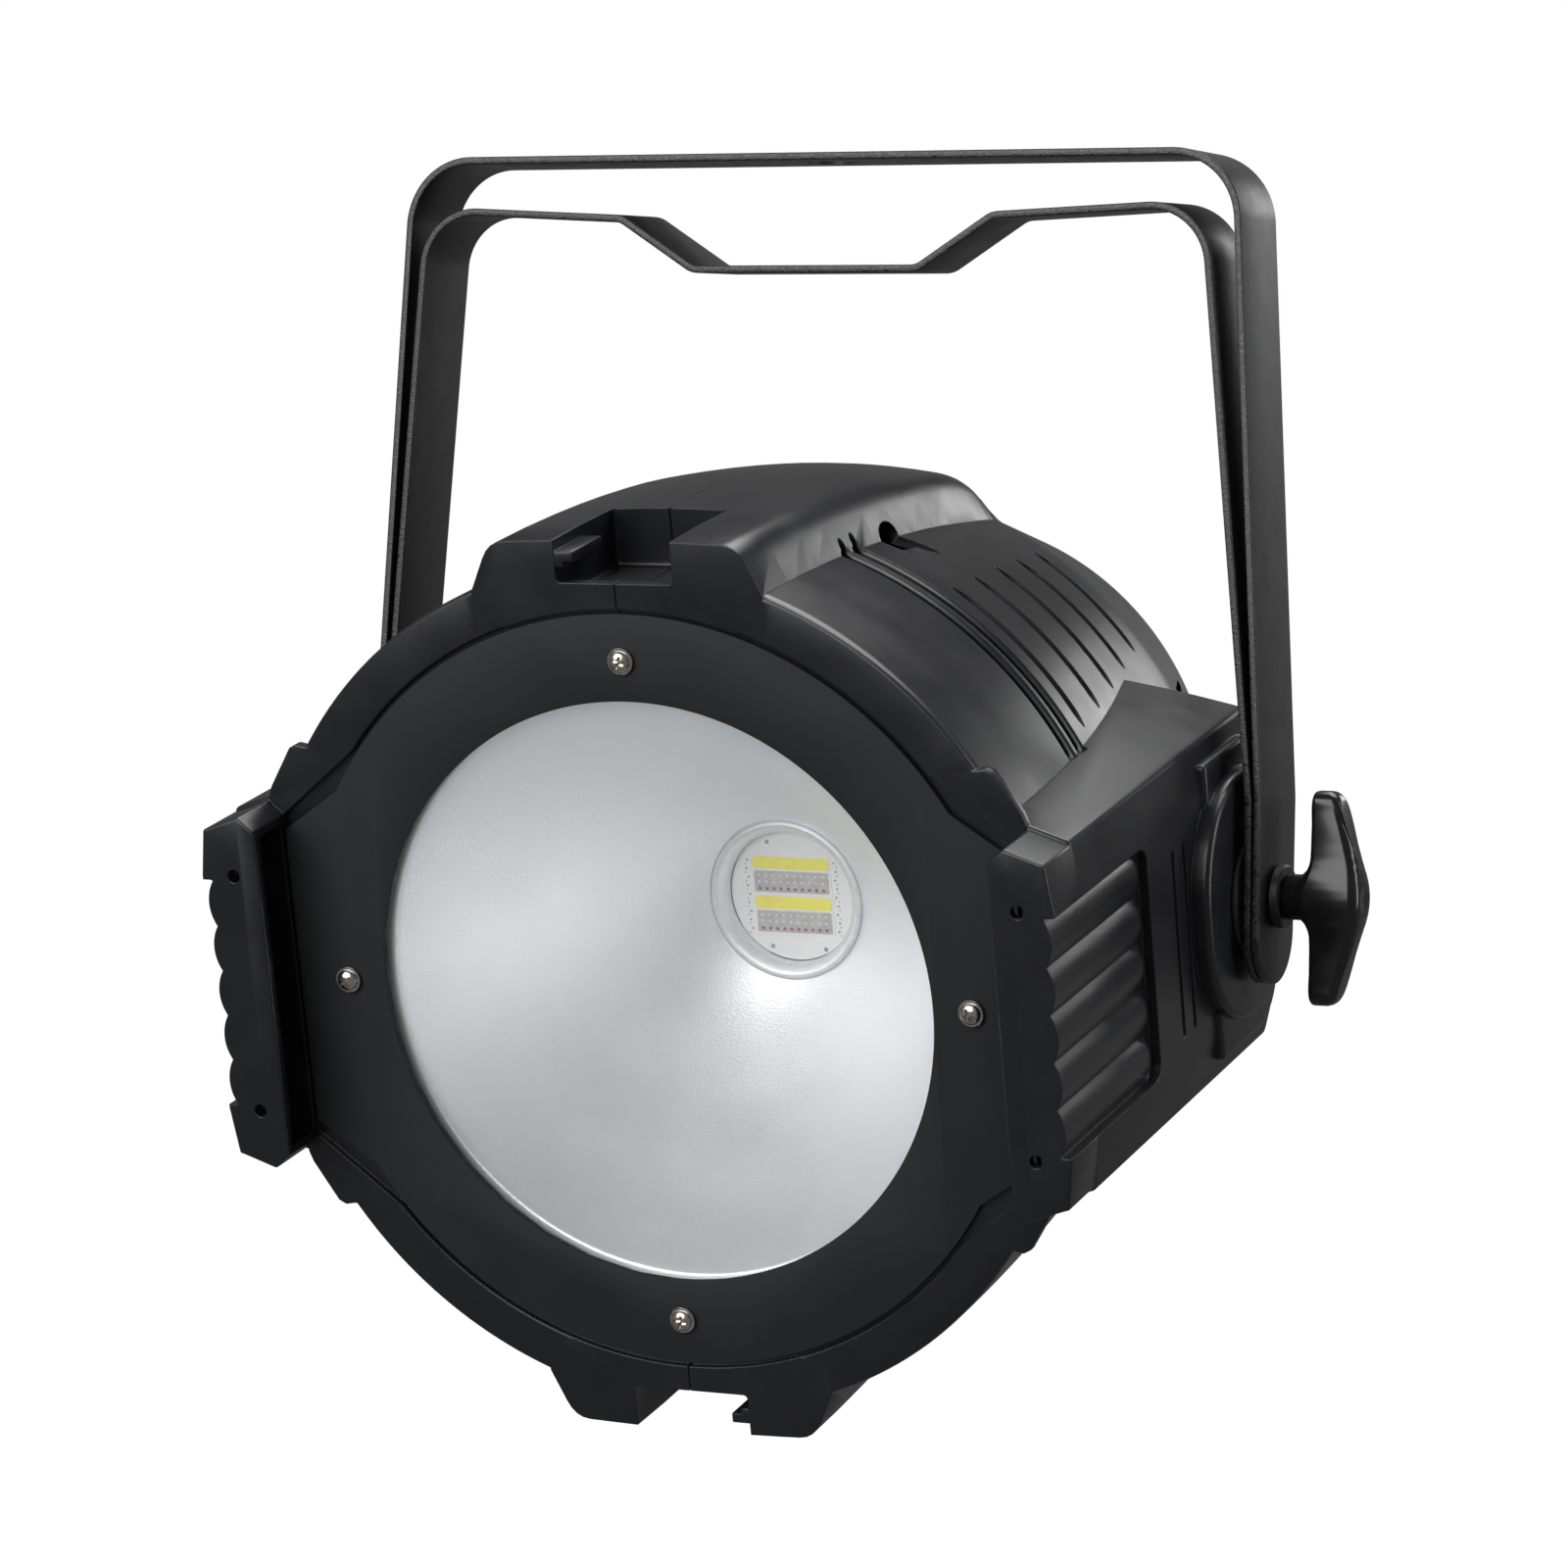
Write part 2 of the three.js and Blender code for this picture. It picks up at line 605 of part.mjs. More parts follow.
function frontPlate() {
  const outline = earedOutline(PLATE_R, PLATE_EAR_X, PLATE_EAR_Z, PLATE_EAR_ANGLE);
  const blank = prismY(outline, 0, PLATE_THICK);
  const holes = screwPlaces().map(([x, z]) => rodY(2.3, -1, 4, x, z, 8));
  return cut(blank, [rodY(APERTURE_R, -1, 4, 0, 0, ROUND_STEPS), ...holes]);
}

// Pan head screw with its washer, along +Y from the plate's face.
function panScrew(length) {
  return unite([
    turned([[0, -3.6], [2.4, -3.2], [3.4, -2.2], [3.5, -1], [0, -1]], 12),
    rodY(4.4, -1.1, -0.3, 0, 0, 16),
    rodY(1.9, -0.5, length, 0, 0, 8),
  ]);
}

addPiece(optics, "front_plate", frontPlate(), BLACK_PAINT);
["top", "right", "bottom", "left"].forEach((side, i) => {
  const screw = addPiece(optics, "front_screw_" + side, panScrew(6), STEEL);
  const [x, z] = screwPlaces()[i];
  screw.position.set(x, 0, z);
});

const ring = (r0, r1, y0, y1, steps) => turned([[r0, y0], [r1, y0], [r1, y1], [r0, y1]], steps);
const gasketY = PLATE_THICK + GAP;
const lensY = gasketY + 1.2 + GAP;
addPiece(optics, "lens_gasket", ring(APERTURE_R + 1, LENS_R, gasketY, gasketY + 1.2), RUBBER);
addPiece(optics, "glass_lens", rodY(LENS_R, lensY, lensY + 3, 0, 0, ROUND_STEPS), GLASS);

// ---------------------------------------------------------------- reflector and LED
const REFLECTOR_END = 104;
const REFLECTOR_VERTEX = 112.7;
const PARABOLA = 90; // radius squared per millimetre from the vertex
const bowlR = (y) => Math.sqrt(PARABOLA * (REFLECTOR_VERTEX - y));

function reflector() {
  const rim = SEAT_DEPTH + GAP;
  const depths = [...range(6).map((i) => rim + (i * (REFLECTOR_END - rim)) / 6), REFLECTOR_END];
  return turned([
    ...depths.map((y) => [bowlR(y), y]),
    ...depths.slice(2).reverse().map((y) => [bowlR(y) + 1.2, y]),
    [bowlR(depths[1]) + 2.5, rim + 1.5], [LENS_R + 6, rim + 1.5], [LENS_R + 6, rim],
  ], 24);
}

const cobY = 110;
addPiece(optics, "reflector", reflector(), ALUMINIUM);
addPiece(optics, "cob_holder", turned([
  [23, 106.5], [24.5, REFLECTOR_END + GAP], [34, REFLECTOR_END + GAP], [34, 109.7], [23, 109.7],
], 20), ALUMINIUM);
addPiece(optics, "cob_led", unite([
  box(-20.5, 20.5, cobY, cobY + 1.6, -20.5, 20.5), box(-13.5, 13.5, cobY - 0.6, cobY + 0.5, -13.5, 13.5),
]), WHITE);

const SINK_R = 56;
const SINK_Y = 117;
function heatSink() {
  const fins = range(11).map((i) => {
    const x = 9 * (i - 5);
    const half = Math.sqrt(SINK_R * SINK_R - x * x) - 1;
    return box(x - 0.8, x + 0.8, SINK_Y + 3, FAN_Y - GAP, -half, half);
  });
  const pedestal = rodY(30, cobY + 1.6 + GAP, SINK_Y + 1, 0, 0, 20);
  return unite([rodY(SINK_R, SINK_Y, SINK_Y + 6, 0, 0, 28), pedestal, ...fins]);
}
addPiece(optics, "heat_sink", heatSink(), ALUMINIUM);

// Folded steel plate that carries everything inside and ties the two tilt inserts together.
const CARRIER_Y = 113;
const CARRIER_X = 122;
const SHELF_LOW = -95;
const SHELF_HIGH = 88;
function carrier() {
  const y1 = CARRIER_Y + 2.5;
  const plate = unite([
    box(-CARRIER_X, CARRIER_X, CARRIER_Y, y1, -36, 36),
    box(-50, 50, CARRIER_Y, y1, SHELF_LOW, SHELF_HIGH),
    box(-50, 50, CARRIER_Y, 184, SHELF_LOW, SHELF_LOW + 2),
    box(-50, 50, CARRIER_Y, 184, SHELF_HIGH - 2, SHELF_HIGH),
  ]);
  const ears = [-1, 1].map((s) => box(
    s > 0 ? CARRIER_X - 2.5 : -CARRIER_X, s > 0 ? CARRIER_X : 2.5 - CARRIER_X,
    CARRIER_Y, PIVOT_BACK + 18, -30, 30,
  ));
  return cut(unite([plate, ...ears]), [
    rodY(31.5, 100, 120, 0, 0, 20), rodX(STUD_R + 1, -140, 140, PIVOT_BACK, 0),
  ]);
}
addPiece(optics, "carrier", carrier(), STEEL);

// ---------------------------------------------------------------- circuit boards

// A board with standoffs on one side and components on the other: +1 stands on what is below.
function circuitBoard(x, y0, y1, z, up, parts) {
  const board = box(-x, x, y0, y1, z - 0.8, z + 0.8);
  const feet = [[-x + 5, y0 + 5], [x - 5, y0 + 5], [-x + 5, y1 - 5], [x - 5, y1 - 5]].map(
    ([px, py]) => rodZ(3, Math.min(z, z - 3.6 * up), Math.max(z, z - 3.6 * up), px, py, 10),
  );
  const chips = parts.map(([px, py, w, d, h]) => {
    const top = z + up * h;
    return box(px - w / 2, px + w / 2, py - d / 2, py + d / 2, Math.min(z, top), Math.max(z, top));
  });
  return unite([board, ...feet, ...chips]);
}

addPiece(optics, "power_board", circuitBoard(45, 119, 183, SHELF_LOW + 6, 1, [
  [-24, 138, 30, 26, 24], [14, 134, 14, 20, 20], [32, 136, 12, 24, 18], [-20, 168, 36, 12, 14],
  [20, 166, 24, 20, 12],
]), BOARD);
addPiece(optics, "control_board", circuitBoard(40, 119, 183, SHELF_HIGH - 6, -1, [
  [-18, 140, 18, 18, 4], [14, 140, 12, 20, 10], [0, 168, 50, 10, 9],
]), BOARD);

// ---------------------------------------------------------------- fan

function fanFrame() {
  const half = FAN_SIZE / 2;
  const back = FAN_Y + FAN_DEPTH;
  const frame = prismY(roundedRect(0, 0, half, half, 5), FAN_Y, back).subtract(
    rodY(FAN_R + 1.2, FAN_Y - 1, back + 1, 0, 0, 20),
  );
  const struts = range(4).map((i) => {
    const g = new THREE.BoxGeometry(36, 2.5, 4).translate(30, back - 1.25, 0);
    return solid(g.rotateY(Math.PI / 4 + (i * Math.PI) / 2));
  });
  const corners = [-1, 1].flatMap((sx) => [-1, 1].map((sz) =>
    rodY(2.2, FAN_Y - 1, back + 1, sx * (half - 5), sz * (half - 5), 6)));
  return cut(unite([frame, ...struts, rodY(18, back - 2.5, back, 0, 0, 12)]), corners);
}

function fanRotor() {
  const front = FAN_Y + 2;
  const back = FAN_Y + FAN_DEPTH - 3.5;
  const blades = range(7).map((i) => {
    const g = new THREE.BoxGeometry(26, 1.8, 20).rotateX(0.7).translate(30.5, (front + back) / 2, 0);
    return solid(g.rotateY((i * 2 * Math.PI) / 7));
  });
  return unite([rodY(19, front, back, 0, 0, 16), ...blades]);
}

addPiece(optics, "fan_frame", fanFrame(), NYLON);
addPiece(optics, "fan_rotor", fanRotor(), NYLON);

// ---------------------------------------------------------------- rear panel
const BUTTONS = ["menu", "down", "up", "enter"];
const buttonX = (i) => BUTTON_PITCH * (i - (BUTTONS.length - 1) / 2);
const SOCKETS = { power_inlet: [-62, 8], power_outlet: [62, 8], dmx_input: [-34, -52], dmx_output: [34, -52] };
const SOCKET_R = 11.8;
const FUSE = [62, -24];
const EYELET_Z = -62;
const WINDOW = { z: 66, halfX: 21, halfZ: 8.5 };
const rearScrews = rearScrewPlaces();

function rearPanel() {
  const holes = [
    rodY(GUARD_R - 3, 250, 265, 0, 0, 16),
    box(-WINDOW.halfX, WINDOW.halfX, 250, 265, WINDOW.z - WINDOW.halfZ, WINDOW.z + WINDOW.halfZ),
    rodY(6.3, 250, 265, FUSE[0], FUSE[1]),
    rodY(3.2, 250, 265, 0, EYELET_Z, 16),
    ...BUTTONS.map((_, i) => rodY(BUTTON_R + 0.6, 250, 265, buttonX(i), BUTTON_Z, 8)),
    ...Object.values(SOCKETS).map(([x, z]) => rodY(SOCKET_R + 0.9, 250, 265, x, z, 12)),
    ...rearScrews.map(([x, z]) => rodY(1.9, 250, 265, x, z, 6)),
  ];
  return cut(rodY(PANEL_R, PANEL_Y, PANEL_BACK, 0, 0, 32), holes);
}

function fanGuard() {
  const y0 = PANEL_BACK + GAP;
  const rings = [18, GUARD_R].map((r) => ring(r - 1, r + 1, y0, y0 + 2, 16));
  const spokes = range(3).map((i) => {
    const g = new THREE.BoxGeometry(2 * GUARD_R, 2, 2).translate(0, y0 + 1, 0);
    return solid(g.rotateY((i * Math.PI) / 3));
  });
  return unite([...rings, ...spokes, rodY(6, y0, y0 + 2, 0, 0, 20)]);
}

// Panel socket: a flange outside, a round body inside, and a cup that the plug goes into.
function socket(cupR, cupDepth, pins, cupHoles) {
  const y0 = PANEL_BACK + GAP;
  const flange = prismY(roundedRect(0, 0, SOCKET_W / 2, SOCKET_H / 2, 3), y0, y0 + 2);
  const body = rodY(SOCKET_R, y0 - 24, y0 + 3, 0, 0, 12);
  const cup = rodY(cupR, y0 + 3 - cupDepth, y0 + 4, 0, 0, 12);
  const at = (count, r) => range(count).map((i) => {
    const angle = Math.PI + ((i - (count - 1) / 2) * Math.PI) / 2;
    return [r * Math.sin(angle), r * Math.cos(angle)];
  });
  const posts = at(pins, 4.2).map(([x, z]) => rodY(1.2, y0 - cupDepth + 1, y0 + 1, x, z, 6));
  const sinks = at(cupHoles, 4.2).map(([x, z]) => rodY(1.3, y0 - 8, y0 + 4, x, z, 6));
  const shell = cut(unite([flange, body]), cupDepth > 0 ? [cup, ...sinks] : sinks);
  return unite([shell, ...posts]);
}

const socketBodies = {
  power_inlet: socket(9.2, 13, 3, 0),
  power_outlet: socket(9.2, 13, 3, 0),
  dmx_input: socket(8.4, 13, 3, 0),
  dmx_output: socket(8.4, 0, 0, 3),
};

addPiece(optics, "rear_panel", rearPanel(), BLACK_PAINT);
addPiece(optics, "fan_guard", fanGuard(), STEEL);
for (const [name, [x, z]] of Object.entries(SOCKETS)) {
  addPiece(optics, name, socketBodies[name], NYLON).position.set(x, 0, z);
}
addPiece(optics, "fuse_holder", unite([
  rodY(6, 238, PANEL_BACK + 1, FUSE[0], FUSE[1]),
  rodY(7.5, PANEL_BACK + GAP, PANEL_BACK + 8, FUSE[0], FUSE[1], 12),
]), NYLON);

function safetyEyelet() {
  const y0 = PANEL_BACK + GAP;
  const loop = new THREE.TorusGeometry(8.5, 2.2, 6, 12).rotateY(Math.PI / 2);
  const eye = solid(loop.translate(0, y0 + 13, EYELET_Z));
  return unite([eye, rodY(5.5, y0, y0 + 3.5, 0, EYELET_Z, 20), rodY(3, 240, y0 + 5, 0, EYELET_Z, 16)]);
}
addPiece(optics, "safety_eyelet", safetyEyelet(), STEEL);

addPiece(optics, "display_window", box(
  GAP - WINDOW.halfX, WINDOW.halfX - GAP, 249, PANEL_BACK - 0.5,
  WINDOW.z - WINDOW.halfZ + GAP, WINDOW.z + WINDOW.halfZ - GAP,
), DISPLAY);
addPiece(optics, "display_board", cut(unite([
  box(-32, 32, 246, 247.6, 38, 76),
  ...BUTTONS.map((_, i) => box(buttonX(i) - 3, buttonX(i) + 3, 247, 249.6, BUTTON_Z - 3, BUTTON_Z + 3)),
]), [rodY(1.6, 240, 250, 0, 57, 12)]), BOARD);
BUTTONS.forEach((name, i) => {
  const cap = unite([
    rodY(BUTTON_R, 253, PANEL_BACK + 2.2, buttonX(i), BUTTON_Z, 12),
    rodY(BUTTON_R + 1.2, 252.2, 254, buttonX(i), BUTTON_Z, 12),
  ]);
  addPiece(optics, "button_" + name, cap, NYLON);
});
rearScrews.forEach(([x, z], i) => {
  const screw = unite([
    rodY(1.6, 247, PANEL_BACK + 1, 0, 0, 10), rodY(3.2, PANEL_BACK + GAP, PANEL_BACK + 2.4, 0, 0, 12),
  ]);
  addPiece(optics, "rear_screw_" + (i + 1), screw, STEEL).position.set(x, 0, z);
});

// ---------------------------------------------------------------- tilt hardware, both sides
const KNOB_REACH = 35; // half the span of both wings
const KNOB_BACK = 13; // wings' inner side, out from the yoke leg
const KNOB_APEX = 30.6;
const HUB_START = 4.2;

// Two-winged grip along +X: a bar across a round middle, cut from a low cone.
function knob() {
  const quarter = [
    [8.8, 0], [8.5, 4], [7.4, 8.5], [6.2, 13], [5.6, 20], [5.2, 30], [4.6, 32.6], [2.8, 34.4],
  ];
  const upper = [...quarter, [0, KNOB_REACH], ...quarter.map(([y, z]) => [-y, z]).reverse()];
  const lower = upper.slice(1, -1).map(([y, z]) => [-y, -z]);
  const outline = new THREE.Shape([...upper, ...lower].map(([y, z]) => new THREE.Vector2(y, z)));
  const x0 = OUTER_HALF_W;
  const cone = new THREE.LatheGeometry([
    [0, KNOB_BACK - 4], [8, KNOB_BACK - 3.5], [12, KNOB_BACK - 1], [20, KNOB_BACK],
    [KNOB_REACH + 1, KNOB_BACK], [KNOB_REACH + 1, KNOB_BACK + 7], [32.5, KNOB_BACK + 9.4],
    [5, KNOB_APEX], [0, KNOB_APEX],
  ].map(([r, x]) => new THREE.Vector2(r, x)), 24);
  const body = solid(cone.rotateZ(-Math.PI / 2).translate(x0, 0, 0)).intersect(
    prismX(outline, x0, x0 + 40),
  );
  const hub = rodX(7.5, x0 + HUB_START, x0 + 20, 0, 0);
  return body.add(hub).subtract(rodX(STUD_R + GAP, x0 - 1, x0 + 21, 0, 0));
}

const bush = rodX(10.4, OUTER_HALF_W + 0.5, OUTER_HALF_W + HUB_START - GAP, 0, 0, 14).subtract(
  rodX(STUD_R + GAP, 150, 180, 0, 0, 12),
);
const washer = rodX(20, PAD_X + GAP, PAD_X + 1.6, 0, 0, 16).subtract(
  rodX(STUD_R + GAP, 150, 180, 0, 0, 12),
);
const stud = rodX(STUD_R, 132, OUTER_HALF_W + 20, 0, 0, 12);
const insert = unite([
  rodX(8, 124.5, PAD_X - 0.5, 0, 0, 12), rodX(14, 122.4, 130, 0, 0, 12),
]).subtract(rodX(STUD_R + GAP, 128, 170, 0, 0, 12));

// At rest the wings stand upright, so each grip is turned back by the head's tilt.
for (const [side, turn, back] of [["right", 0, -HEAD_TILT], ["left", Math.PI, HEAD_TILT]]) {
  const group = new THREE.Group();
  group.rotation.z = turn;
  head.add(group);
  addPiece(group, side + "_knob", knob().rotate([back, 0, 0]), KNOB_BLACK);
  addPiece(group, side + "_knob_bush", bush, NYLON);
  addPiece(group, side + "_knob_stud", stud, STEEL);
  addPiece(group, side + "_friction_washer", washer, RUBBER);
  addPiece(group, side + "_pivot_insert", insert, STEEL);
}

export default root;
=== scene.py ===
"""Looks of a par can light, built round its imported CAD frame.

Shapes are made in millimetres in a local frame, then placed in the row's frame in metres. The head's
frame has y = 0 on the front plate's face, y growing to the back and the tilt axis at y = 132. The frames
of the yokes and clamps have their origin on the tilt axis.
"""
import math

import bmesh
import bpy
import numpy as np
from mathutils import Matrix, Vector


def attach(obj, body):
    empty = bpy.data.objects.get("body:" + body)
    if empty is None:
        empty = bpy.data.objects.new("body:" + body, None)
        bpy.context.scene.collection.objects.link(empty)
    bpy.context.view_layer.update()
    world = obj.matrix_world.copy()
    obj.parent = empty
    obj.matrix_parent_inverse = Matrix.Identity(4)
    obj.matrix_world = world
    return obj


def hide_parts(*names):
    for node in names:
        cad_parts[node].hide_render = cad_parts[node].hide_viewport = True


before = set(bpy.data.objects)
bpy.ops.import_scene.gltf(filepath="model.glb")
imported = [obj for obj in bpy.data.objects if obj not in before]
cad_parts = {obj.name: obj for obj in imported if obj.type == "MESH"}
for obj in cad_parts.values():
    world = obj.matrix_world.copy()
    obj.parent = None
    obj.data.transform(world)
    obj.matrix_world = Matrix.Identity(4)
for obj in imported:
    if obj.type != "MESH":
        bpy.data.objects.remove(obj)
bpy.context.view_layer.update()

# ------------------------------------------------------------------ frames and sizes
PIVOT_DROP = 243  # from the top of the outer yoke's bar down to the tilt axis
PIVOT_BACK = 132  # from the front plate's face back to the tilt axis
HEAD_TILT = 13.8  # degrees from level at rest
INNER_LEAN = 1.7  # degrees from upright at rest
RING_R = 141
BARREL_BULGE = 0.000531  # loss of radius per square of the distance from the front
BARREL_END = 188
REAR_R = 93
REAR_END = 262
WALL = 3
PLATE_R = 125
PLATE_THICK = 2
APERTURE_R = 96.6
SCREW_CIRCLE_R = 110
BLOCK_X = 148.5
BLOCK_EDGE_X = 146.4
BLOCK_HALF_Z = 56.5
BLOCK_END = 168
FLANGE_Y = -21
CHANNEL_X = 138.3
PANEL_BACK = 258.8
GAP = 0.3  # clearance between neighbouring pieces

MM = Matrix.Scale(0.001, 4)


def turned_frame(degrees, back=0.0):
    """A local frame turned about the tilt axis, which lies at y = back in it."""
    drop = Matrix.Translation((0, 0, -PIVOT_DROP / 1000))
    turn = Matrix.Rotation(math.radians(degrees), 4, "X")
    return drop @ turn @ Matrix.Translation((0, -back / 1000, 0)) @ MM


HEAD = turned_frame(HEAD_TILT, PIVOT_BACK)
TILT = turned_frame(HEAD_TILT)
INNER = turned_frame(INNER_LEAN)
OUTER = turned_frame(0)
HALF_TURN_Y = Matrix.Rotation(math.pi, 4, "Y")
HALF_TURN_Z = Matrix.Rotation(math.pi, 4, "Z")
Y_TO_X = Matrix.Rotation(-math.pi / 2, 4, "Z")


# ------------------------------------------------------------------ mesh helpers
def new_object(name, vertices, faces):
    """An object from points and faces, tidied and linked."""
    mesh = bpy.data.meshes.new(name)
    mesh.from_pydata([tuple(v) for v in vertices], [], faces)
    obj = bpy.data.objects.new(name, mesh)
    bpy.context.scene.collection.objects.link(obj)
    tidy_mesh(mesh)
    return obj


def tidy_mesh(mesh):
    """Merges doubled points and turns every face outwards."""
    bm = bmesh.new()
    bm.from_mesh(mesh)
    bmesh.ops.remove_doubles(bm, verts=bm.verts, dist=1e-4)
    bmesh.ops.dissolve_degenerate(bm, edges=bm.edges, dist=1e-4)
    bmesh.ops.recalc_face_normals(bm, faces=bm.faces)
    bm.to_mesh(mesh)
    bm.free()


def move(obj, x=0, y=0, z=0, turn=None):
    """Turns a mesh about its origin, then shifts it."""
    if turn is not None:
        obj.data.transform(turn)
    obj.data.transform(Matrix.Translation((x, y, z)))
    return obj


def copy_of(obj, matrix):
    """A second object with its own mesh, moved by a matrix."""
    twin = bpy.data.objects.new(obj.name + "_copy", obj.data.copy())
    bpy.context.scene.collection.objects.link(twin)
    twin.data.transform(matrix)
    if matrix.determinant() < 0:
        twin.data.flip_normals()
    return twin


def bake(obj):
    """Applies every modifier."""
    bpy.context.view_layer.update()
    evaluated = obj.evaluated_get(bpy.context.evaluated_depsgraph_get())
    mesh = bpy.data.meshes.new_from_object(evaluated)
    obj.modifiers.clear()
    obj.data = mesh
    return obj


def combine(obj, operation, tools):
    """UNION, DIFFERENCE or INTERSECT with each tool, which is used up."""
    for tool in tools:
        modifier = obj.modifiers.new("cut", "BOOLEAN")
        modifier.solver = "MANIFOLD"
        modifier.operation = operation
        modifier.object = tool
    bake(obj)
    for tool in tools:
        bpy.data.objects.remove(tool)
    return obj


def join(obj, others):
    """Puts other objects' meshes into this one, side by side."""
    bm = bmesh.new()
    bm.from_mesh(obj.data)
    for other in others:
        bm.from_mesh(other.data)
        bpy.data.objects.remove(other)
    bm.to_mesh(obj.data)
    bm.free()
    return obj


def bevel(obj, width, segments=3, angle=35):
    """Rounds every edge sharper than an angle in degrees."""
    modifier = obj.modifiers.new("bevel", "BEVEL")
    modifier.width = width
    modifier.segments = segments
    modifier.limit_method = "ANGLE"
    modifier.angle_limit = math.radians(angle)
    return bake(obj)


def lathe(profile, steps=96):
    """A solid turned round Y from a closed list of (radius, y)."""
    count = len(profile)
    vertices = []
    for s in range(steps):
        angle = 2 * math.pi * s / steps
        vertices += [(r * math.sin(angle), y, r * math.cos(angle)) for r, y in profile]
    faces = []
    for s in range(steps):
        t = (s + 1) % steps
        for i in range(count):
            j = (i + 1) % count
            if profile[i][0] == 0 and profile[j][0] == 0:
                continue
            faces.append((s * count + i, s * count + j, t * count + j, t * count + i))
    return new_object("turned", vertices, faces)


def rod_y(r, y0, y1, x=0, z=0, steps=32, edge=0.0):
    """A rod along Y, with its ends chamfered by edge."""
    profile = [(0, y0), (r - edge, y0), (r, y0 + edge), (r, y1 - edge), (r - edge, y1), (0, y1)]
    return move(lathe(profile, steps), x, 0, z)


def rod_x(r, x0, x1, steps=32, edge=0.0):
    """A rod along X, with its ends chamfered by edge."""
    return move(rod_y(r, x0, x1, steps=steps, edge=edge), turn=Y_TO_X)


def prism(outline, axis, low, high):
    """An outline pushed along an axis. Its points are the two other coordinates, in X, Y, Z order."""
    place = {
        "X": lambda p, d: (d, p[0], p[1]),
        "Y": lambda p, d: (p[0], d, p[1]),
        "Z": lambda p, d: (p[0], p[1], d),
    }[axis]
    count = len(outline)
    vertices = [place(p, low) for p in outline] + [place(p, high) for p in outline]
    faces = [tuple(range(count)), tuple(range(2 * count - 1, count - 1, -1))]
    faces += [(i, (i + 1) % count, count + (i + 1) % count, count + i) for i in range(count)]
    return new_object("prism", vertices, faces)


def box(x0, x1, y0, y1, z0, z1):
    return prism([(x0, z0), (x1, z0), (x1, z1), (x0, z1)], "Y", y0, y1)


def arc(cx, cy, r, start, end, steps=12):
    """Points on an arc, with its angles in degrees."""
    angles = np.radians(np.linspace(start, end, steps + 1))
    return [(cx + r * math.cos(a), cy + r * math.sin(a)) for a in angles]


def rounded_rect(cx, cy, half_x, half_y, r, steps=10):
    """Outline of a rectangle with round corners."""
    points = []
    for quarter, (sx, sy) in enumerate([(1, 1), (-1, 1), (-1, -1), (1, -1)]):
        centre = (cx + sx * (half_x - r), cy + sy * (half_y - r))
        points += arc(*centre, r, 90 * quarter, 90 * quarter + 90, steps)
    return points


def loft(sections):
    """A solid through closed sections with equal counts of points."""
    count = len(sections[0])
    vertices = [p for section in sections for p in section]
    faces = [tuple(range(count)), tuple(range(len(vertices) - 1, len(vertices) - count - 1, -1))]
    for s in range(len(sections) - 1):
        for i in range(count):
            j = (i + 1) % count
            faces.append((s * count + i, s * count + j, (s + 1) * count + j, (s + 1) * count + i))
    return new_object("loft", vertices, faces)


def mirrored_z(obj):
    """A copy, mirrored about the local XY plane."""
    return copy_of(obj, Matrix.Diagonal((1, 1, -1, 1)))


# ------------------------------------------------------------------ materials
def finish(name, dark, light, rough, metallic=0.0, patch=18.0, grain=0.6, depth=0.02, bevel_mm=0.0,
           specular=0.5):
    """A surface with soft patches in colour and roughness, and a fine grain in its height.

    dark and light are its colours, rough its lowest and highest roughness, patch and grain the
    sizes of both patterns in mm, and depth the grain's height in mm.
    """
    material = bpy.data.materials.new(name)
    material.use_nodes = True
    nodes, links = material.node_tree.nodes, material.node_tree.links
    shader = nodes["Principled BSDF"]
    shader.inputs["Metallic"].default_value = metallic
    shader.inputs["Specular IOR Level"].default_value = specular
    place = nodes.new("ShaderNodeTexCoord")

    patches = nodes.new("ShaderNodeTexNoise")
    patches.inputs["Scale"].default_value = 1000 / patch
    patches.inputs["Detail"].default_value = 4
    links.new(place.outputs["Object"], patches.inputs["Vector"])
    colours = nodes.new("ShaderNodeValToRGB")
    colours.color_ramp.elements[0].position = 0.3
    colours.color_ramp.elements[0].color = (*dark, 1)
    colours.color_ramp.elements[1].position = 0.7
    colours.color_ramp.elements[1].color = (*light, 1)
    links.new(patches.outputs["Fac"], colours.inputs["Fac"])
    links.new(colours.outputs["Color"], shader.inputs["Base Color"])
    spread = nodes.new("ShaderNodeMapRange")
    spread.inputs["From Min"].default_value = 0.3
    spread.inputs["From Max"].default_value = 0.7
    spread.inputs["To Min"].default_value = rough[0]
    spread.inputs["To Max"].default_value = rough[1]
    links.new(patches.outputs["Fac"], spread.inputs["Value"])
    links.new(spread.outputs["Result"], shader.inputs["Roughness"])

    grains = nodes.new("ShaderNodeTexNoise")
    grains.inputs["Scale"].default_value = 1000 / grain
    grains.inputs["Detail"].default_value = 2
    links.new(place.outputs["Object"], grains.inputs["Vector"])
    bump = nodes.new("ShaderNodeBump")
    bump.inputs["Strength"].default_value = 1
    bump.inputs["Distance"].default_value = depth / 1000
    links.new(grains.outputs["Fac"], bump.inputs["Height"])
    if bevel_mm:
        soft = nodes.new("ShaderNodeBevel")
        soft.samples = 6
        soft.inputs["Radius"].default_value = bevel_mm / 1000
        links.new(soft.outputs["Normal"], bump.inputs["Normal"])
    links.new(bump.outputs["Normal"], shader.inputs["Normal"])
    return material


